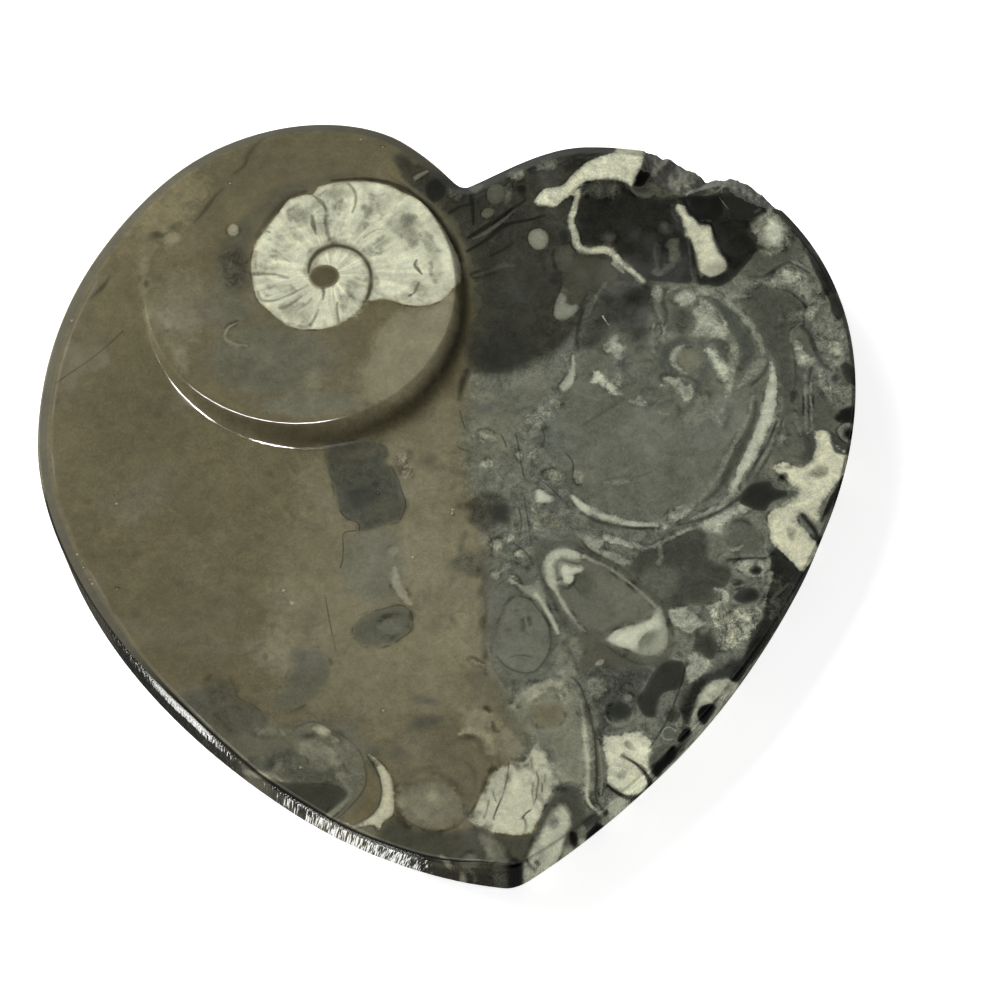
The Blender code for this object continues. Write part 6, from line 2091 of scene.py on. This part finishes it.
def new_material(name):
    material = bpy.data.materials.new(name)
    material.use_nodes = True
    tree = material.node_tree
    tree.nodes.clear()
    shader = add_node(tree, "BsdfPrincipled")
    outlet = add_node(tree, "OutputMaterial")
    tree.links.new(shader.outputs[0], outlet.inputs["Surface"])
    look = tree.nodes.new("ShaderNodeGroup")
    look.node_tree = LIMESTONE
    return material, tree, shader, look.outputs


def roughen(tree, shader, height, strength, micrometres):
    """A fine relief that only bends the light; the shapes themselves are in the mesh."""
    bump = add_node(tree, "Bump", Height=height, Strength=strength, Distance=micrometres * 1e-6)
    tree.links.new(bump.outputs[0], shader.inputs["Normal"])


print("every finish starts from", LIMESTONE.name)

# %% Polished face
FOOT_RING = (22.9, 23.3, 28.4, 29.0)
RIM_RING = (21.4, 21.7, 22.9, 23.3)
FOOT_POLISH = (
    (0.5, 0.0), (0.515, 0.2), (0.53, 0.1), (0.545, 0.0), (0.57, 0.0), (0.585, 0.8), (0.648, 0.8),
    (0.662, 0.0), (0.692, 0.0), (0.702, 0.7), (0.728, 0.5), (0.74, 0.0),
)
RIM_POLISH = (
    (0.5, 0.05), (0.61, 0.1), (0.64, 0.8), (0.70, 0.8), (0.715, 0.5), (0.73, 1.0), (0.76, 1.0),
    (0.785, 0.0),
)
FACE_ROUGHNESS = 0.065
GLOSS, DULL_GLOSS = 0.5, 0.012
STONE_IOR = 1.5


def unpolished_ring(tree, away, turn, ring, polish):
    """A ring round the button, at its distances in millimetres, less where it is polished."""
    inner, outer = ramp(tree, away, ring[0], ring[1]), ramp(tree, away, ring[3], ring[2])
    left = calculate(tree, "SUBTRACT", 1.0, stops(tree, turn, *polish))
    return product(tree, product(tree, inner, outer), left)


def cove_dullness(tree, place):
    """How dull the button's edge and the foot of its cove are."""
    spoke = vectors(tree, "SUBTRACT", place, (*BUTTON_CENTRE, 0.0))
    x, y, _ = add_node(tree, "SeparateXYZ", Vector=spoke).outputs
    away = calculate(tree, "SQRT", calculate(tree, "MULTIPLY_ADD", x, x, product(tree, y, y)))
    angle = calculate(tree, "ARCTAN2", product(tree, y, -1.0), product(tree, x, -1.0))
    turn = calculate(tree, "MULTIPLY_ADD", angle, 1.0 / math.tau, 0.5)
    foot = unpolished_ring(tree, away, turn, FOOT_RING, FOOT_POLISH)
    return calculate(tree, "MAXIMUM", foot, unpolished_ring(tree, away, turn, RIM_RING, RIM_POLISH))


def polished_face():
    material, tree, shader, look = new_material("polished limestone face")
    place = millimetres(tree)
    scratches = noise(tree, place, 9.0, 2.0, 0.5)
    worn = ramp(tree, noise(tree, place, 0.13, 2.0, 0.5), -0.1, 0.35, 0.0, 0.16)
    ground = ramp(tree, look["Rim"], 1.6, 1.1)
    roughness = weigh(tree, (scratches, 0.02), (worn, 1.0), (ground, 0.3))
    feed(tree, shader.inputs["Roughness"], calculate(tree, "ADD", roughness, FACE_ROUGHNESS))
    dull = calculate(tree, "MAXIMUM", ground, cove_dullness(tree, place))
    feed(tree, shader.inputs["Specular IOR Level"], ramp(tree, dull, 0.0, 1.0, GLOSS, DULL_GLOSS))
    x, y, _ = add_node(tree, "SeparateXYZ", Vector=place).outputs
    # At the lower left the bevel is tinted nearly black: painted shade along the rounded upper
    # edge.
    low_left = product(tree, ramp(tree, y, -22.0, -32.0), ramp(tree, x, 7.0, 4.0))
    bevel = ramp(tree, look["Rim"], 1.1, 0.8, 0.0, 0.55)
    bevel = product(tree, bevel, calculate(tree, "MULTIPLY_ADD", low_left, 0.7, 1.0))
    bevel_colour = blend(tree, low_left, BEVEL_GREY, PAINTED_SHADE_DARK)
    feed(tree, shader.inputs["Base Color"], blend(tree, bevel, look["Color"], bevel_colour))
    shader.inputs["IOR"].default_value = STONE_IOR
    relief = product(tree, noise(tree, place, 5.0, 3.0, 0.6), look["Grain"])
    roughen(tree, shader, relief, 0.12, 40)
    return material


stone_mesh.materials.append(polished_face())
print("the gloss falls from", GLOSS, "to", DULL_GLOSS, "where the wheel did not reach")

# %% [markdown]
# ## The ground wall
#
# The wall is satin, and a coarse stone scored it at the lower left. There its grooves glitter: the
# white lines are painted glints, and the dark between and below them is painted shade, as is a dark
# band just under the upper edge. The widest grooves are in the mesh. The finest are narrower than
# its triangles, so a noise stretched along the slanting wall draws them, in the relief and in the
# painted glints. A striped texture would be too even.

# %% Ground wall
# These place and colour the lower left of the wall: painted white glints on its grooves, and
# painted shade between and below them.
PAINTED_GLINT_SPAN = (-50.0, 0.0)
PAINTED_GLINT_STRETCH = (
    (-48.5, 0.0), (-46.0, 0.25), (-43.0, 0.35), (-41.0, 0.75), (-36.0, 0.75), (-33.0, 0.3),
    (-30.0, 0.0), (-27.5, 0.1), (-25.0, 0.35), (-21.0, 0.48), (-11.5, 0.55), (-9.0, 0.4),
    (-6.0, 0.0),
)
PAINTED_GLINT_BAND = (6.8, 8.6)
SCORING_SLIDE = (-0.06, 0.19, -0.985)
PAINTED_GLINT_WHITE = (0.85, 0.85, 0.82)
SHADY_GREY = (0.03, 0.03, 0.031)


def painted_glint_share(tree, across):
    """How much of the wall is painted with white glints, at places from the left to the tip."""
    left, right = PAINTED_GLINT_SPAN
    pairs = [((x - left) / (right - left), share) for x, share in PAINTED_GLINT_STRETCH]
    return stops(tree, ramp(tree, across, left, right, smooth=False), *pairs)


def painted_glint_and_shade(tree, colour, x, z, slanted, left):
    """The wall's colour with painted shade and the painted white glints of its grooves."""
    share = painted_glint_share(tree, x)
    band = blend(tree, ramp(tree, x, -30.0, -27.0), ramp(tree, z, *PAINTED_GLINT_BAND), 1.0, "FLOAT")
    white_share = product(tree, share, band, left)
    level = calculate(tree, "MULTIPLY_ADD", white_share, 0.9, noise(tree, slanted, 6.0, 1.0, 0.6))
    # Where the noise is low the wall is painted shade; where it is high it is a painted white
    # glint.
    dark = product(tree, ramp(tree, level, 0.5, 0.1, 0.0, 0.8), ramp(tree, share, 0.0, 0.2), left)
    where_white = ramp(tree, white_share, 0.0, 0.15)
    white = product(tree, ramp(tree, level, 0.42, 0.56, 0.0, 0.92), where_white)
    colour = blend(tree, white, blend(tree, dark, colour, PAINTED_SHADE_DARK), PAINTED_GLINT_WHITE)
    # A dark band just under the upper edge at the left is painted shade.
    arris_shade = product(tree, ramp(tree, z, 10.7, 11.2), left, 0.75)
    return blend(tree, arris_shade, colour, PAINTED_SHADE_DARK)


def ground_wall():
    material, tree, shader, look = new_material("ground limestone wall")
    place = millimetres(tree)
    x, y, z = add_node(tree, "SeparateXYZ", Vector=place).outputs
    slanted = vectors(tree, "ADD", place, vectors(tree, "SCALE", SCORING_SLIDE, Scale=z))
    front = ramp(tree, y, 2.0, -2.0)
    left = product(tree, ramp(tree, x, -4.0, -9.0), front)
    # The wall turns grey-black towards the left: painted shade.
    shady = product(tree, ramp(tree, x, -20.0, -36.0, 0.0, 0.6), front)
    colour = blend(tree, shady, look["Color"], SHADY_GREY)
    feed(tree, shader.inputs["Base Color"], painted_glint_and_shade(tree, colour, x, z, slanted, left))
    streaks = noise(tree, slanted, 3.2, 3.0, 0.6)
    feed(tree, shader.inputs["Roughness"], ramp(tree, streaks, -1.0, 1.0, 0.16, 0.4))
    matt = product(tree, ramp(tree, z, 10.2, 10.9), front)
    matt = calculate(tree, "MAXIMUM", matt, ramp(tree, x, 6.0, 9.0))
    feed(tree, shader.inputs["Specular IOR Level"], ramp(tree, matt, 0.0, 1.0, 0.4, 0.02))
    roughen(tree, shader, product(tree, streaks, left), 0.35, 80)
    return material


stone_mesh.materials.append(ground_wall())
print("the wall is scored in", len(PAINTED_GLINT_STRETCH), "stretches")

# %% [markdown]
# ## The broken rim and the underside
#
# A fresh break is grey and sugary: every grain of calcite has its own tone, and a few lie so that
# they flash; those flashes are painted into the colour as nearly white grains, a painted glint.
# Small cells give each grain one tone, which noise can't. The underside was only sawn, so it is
# dull, with faint straight saw lines.

# %% Broken rim
FRESH_TINT = (1.0, 1.0, 0.86)
FRESH_SHARE = 0.3
CRYSTAL_GLINT_TONE = 0.88


def broken_rim():
    material, tree, shader, look = new_material("broken limestone rim")
    place = millimetres(tree)
    grains = add_node(tree, "TexVoronoi", dict(feature="F1"), Vector=place, Scale=5.5)
    dice = colour_parts(tree, grains.outputs["Color"])
    cloudy = noise(tree, place, 0.9, 4.0, 0.65)
    tone = ramp(tree, dice[0], 0.0, 1.0, 0.34, 0.46, smooth=False)
    tone = calculate(tree, "MULTIPLY_ADD", cloudy, 0.14, tone)
    # The brightest grains are painted glints, nearly white.
    crystal_glint = product(tree, ramp(tree, dice[1], 0.93, 0.96), ramp(tree, cloudy, 0.05, 0.3))
    tone = blend(tree, crystal_glint, tone, CRYSTAL_GLINT_TONE, "FLOAT")
    light = calculate(tree, "POWER", calculate(tree, "MAXIMUM", tone, 0.05), EYE_POWER)
    fresh = vectors(tree, "SCALE", FRESH_TINT, Scale=light)
    feed(tree, shader.inputs["Base Color"], blend(tree, FRESH_SHARE, look["Color"], fresh))
    shader.inputs["Roughness"].default_value = 0.75
    shader.inputs["Specular IOR Level"].default_value = 0.25
    roughen(tree, shader, dice[2], 0.5, 150)
    return material


stone_mesh.materials.append(broken_rim())
print(f"{1 - FRESH_SHARE:.0%} of the break's colour is the stone's own")

# %% Sawn underside
SAWN_TINT = (1.0, 0.99, 0.88)
SAWN_TONE = 0.44
SAW_STRETCH = (0.06, 1.0, 0.0)


def sawn_underside():
    material, tree, shader, _ = new_material("sawn limestone underside")
    place = millimetres(tree)
    saw = noise(tree, vectors(tree, "MULTIPLY", place, SAW_STRETCH), 0.6, 0.0)
    cloudy = noise(tree, place, 0.12, 4.0, 0.6, 0.4)
    tone = calculate(tree, "MULTIPLY_ADD", cloudy, 0.12, SAWN_TONE)
    tone = calculate(tree, "MULTIPLY_ADD", saw, 0.03, tone)
    light = calculate(tree, "POWER", tone, EYE_POWER)
    feed(tree, shader.inputs["Base Color"], vectors(tree, "SCALE", SAWN_TINT, Scale=light))
    shader.inputs["Roughness"].default_value = 0.7
    roughen(tree, shader, saw, 0.15, 80)
    return material


stone_mesh.materials.append(sawn_underside())
print("finishes:", ", ".join(m.name for m in stone_mesh.materials))

# %% [markdown]
# ## A map for baking
#
# Whoever exports the stone bakes its colour to one square picture. An automatic unwrap would cut
# the face into islands. The face is nearly flat, so here it is laid down whole from above, the wall
# beside it as four straight strips, and the plain underside small in the corner.

# %% Bake map
FACE_SHARE = 0.79
MAP_MARGIN = 0.006
HALF_SPAN = 57.6
STRIPS = 4
UNDERSIDE_AT = 0.83
UNDERSIDE_SHARE = 0.16
FOOT_ROOM = 0.5

corner_point = np.zeros(len(stone_mesh.loops), np.int64)
stone_mesh.loops.foreach_get("vertex_index", corner_point)
corner_xyz = points[corner_point]
scale = (FACE_SHARE - 2 * MAP_MARGIN) / (2 * HALF_SPAN)
u = (corner_xyz[:, 0] + HALF_SPAN) * scale + MAP_MARGIN
v = (corner_xyz[:, 1] + HALF_SPAN) * scale + MAP_MARGIN

first = len(face_triangles) * 3
wall_end = first + 4 * len(wall_faces)
quad_column = np.arange(len(wall_faces)) % columns
quad_strip = quad_column * STRIPS // columns
strip_start = -(-quad_strip * columns // STRIPS)
along_left = (quad_column - strip_start) * WALL_STEP
along_right = along_left + WALL_STEP
along = np.stack([along_left, along_left, along_right, along_right], 1).ravel() * scale
corners = slice(first, wall_end)
rise = corner_xyz[corners, 2]
below = np.where(rise < 0.01, -FOOT_ROOM, 0.0)
rise = (rise + FOOT_ROOM + below) * scale
strip = np.repeat(quad_strip, 4)
side = FACE_SHARE + MAP_MARGIN + (strip % 2) * (0.5 - FACE_SHARE / 2)
u[corners] = np.where(strip < 2, along + MAP_MARGIN, side + rise)
v[corners] = np.where(strip < 2, side + rise, along + MAP_MARGIN)

under = slice(wall_end, None)
corner_scale = UNDERSIDE_SHARE / (2 * HALF_SPAN)
u[under] = UNDERSIDE_AT + (corner_xyz[under, 0] + HALF_SPAN) * corner_scale
v[under] = UNDERSIDE_AT + (corner_xyz[under, 1] + HALF_SPAN) * corner_scale
bake_map = stone_mesh.uv_layers.new(name="OFBake")
bake_map.data.foreach_set("uv", np.column_stack([u, v]).astype(np.float32).ravel())
print(f"the map spans {u.min():.3f} to {u.max():.3f} and {v.min():.3f} to {v.max():.3f}")

# %% [markdown]
# ## The table
#
# The dish is shown on a pale light table, as small stones often are: it is lit from above and glows
# a little itself, which keeps the shadows faint. A curved backdrop would hide the far edge, but the
# camera looks down and never sees one. The table lies a hair below the foot, so that the two faces
# never share a place, and it is kept out of mirror reflections, so the stone's wall stays dark.

# %% Table
TABLE_HALF = 900.0
TABLE_DROP = 0.05
TABLE_GLOW = 1.6
TABLE_SHADES = (0.52, 0.54)
bpy.ops.mesh.primitive_plane_add(size=2 * TABLE_HALF * MM, location=(0, 0, -TABLE_DROP * MM))
table = bpy.context.active_object
table.name = "pale_table"


def table_material():
    material = bpy.data.materials.new("pale table")
    material.use_nodes = True
    tree = material.node_tree
    shader = tree.nodes["Principled BSDF"]
    cloudy = noise(tree, millimetres(tree), 0.02, 2.0, 0.5)
    shade = ramp(tree, cloudy, -1.0, 1.0, *TABLE_SHADES, smooth=False)
    colour = add_node(tree, "CombineXYZ", X=shade, Y=shade, Z=shade).outputs[0]
    feed(tree, shader.inputs["Base Color"], colour)
    feed(tree, shader.inputs["Emission Color"], colour)
    shader.inputs["Roughness"].default_value = 0.6
    shader.inputs["Specular IOR Level"].default_value = 0.2
    shader.inputs["Emission Strength"].default_value = TABLE_GLOW
    return material


table.data.materials.append(table_material())
table.visible_glossy = False
print(f"the table is {2 * TABLE_HALF:.0f} mm square")

# %% [markdown]
# ## The light
#
# A polished stone mirrors whatever stands opposite the viewer, so nothing bright stands there. The
# main light is a window beyond the dish on the left, which leaves the right side of the button's
# cove dark. A long thin strip above draws the fine bright lines along the rounded edges; it only
# mirrors, and lights nothing. Two narrow spots reach the lower walls, which the window leaves in
# shade. One big soft lamp overhead would be simpler, but it would flatten the cove and the bowl.

# %% Light
WORLD_STRENGTH = 0.035
SPOT_BLEND = 0.6
SPOT_RADIUS = 0.01


def hang_lamp(name, kind, place, target, power):
    """A lamp that faces its target; places in millimetres, power in watts."""
    lamp = bpy.data.lights.new(name, kind)
    lamp.energy = power
    holder = bpy.data.objects.new(name, lamp)
    holder.location = Vector(place) * MM
    towards = Vector(target) * MM - holder.location
    holder.rotation_euler = towards.to_track_quat("-Z", "Y").to_euler()
    bpy.context.scene.collection.objects.link(holder)
    return holder


def soft_lamp(name, place, size, power):
    holder = hang_lamp(name, "AREA", place, (0, 0, 0), power)
    holder.data.shape = "RECTANGLE"
    holder.data.size, holder.data.size_y = size[0] * MM, size[1] * MM
    return holder


def narrow_spot(name, place, target, spread, power):
    """A small spot for one stretch of the wall; its spread is in degrees."""
    holder = hang_lamp(name, "SPOT", place, target, power)
    holder.data.spot_size, holder.data.spot_blend = math.radians(spread), SPOT_BLEND
    holder.data.shadow_soft_size = SPOT_RADIUS
    return holder


def light_scene():
    world = bpy.data.worlds.new("studio")
    world.use_nodes = True
    sky = world.node_tree.nodes["Background"]
    sky.inputs["Color"].default_value = (1.0, 1.0, 1.0, 1.0)
    sky.inputs["Strength"].default_value = WORLD_STRENGTH
    bpy.context.scene.world = world
    soft_lamp("window", (-720, 480, 760), (650, 650), 20.5)
    strip = soft_lamp("ceiling strip", (-120, -120, 990), (1000, 150), 47.0)
    strip.visible_diffuse = False
    narrow_spot("left wall spot", (-290, -430, 24), (-22, -46, 5), 6.0, 9.0)
    right_spot = narrow_spot("right wall spot", (420, -430, 9), (31, -38, 5), 7.5, 9.0)
    right_spot.visible_glossy = False
    bpy.context.scene.view_settings.view_transform = "Standard"


light_scene()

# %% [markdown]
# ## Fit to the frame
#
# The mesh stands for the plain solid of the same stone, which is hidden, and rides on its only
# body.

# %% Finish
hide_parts(STONE_NODE)
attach(stone, "root")
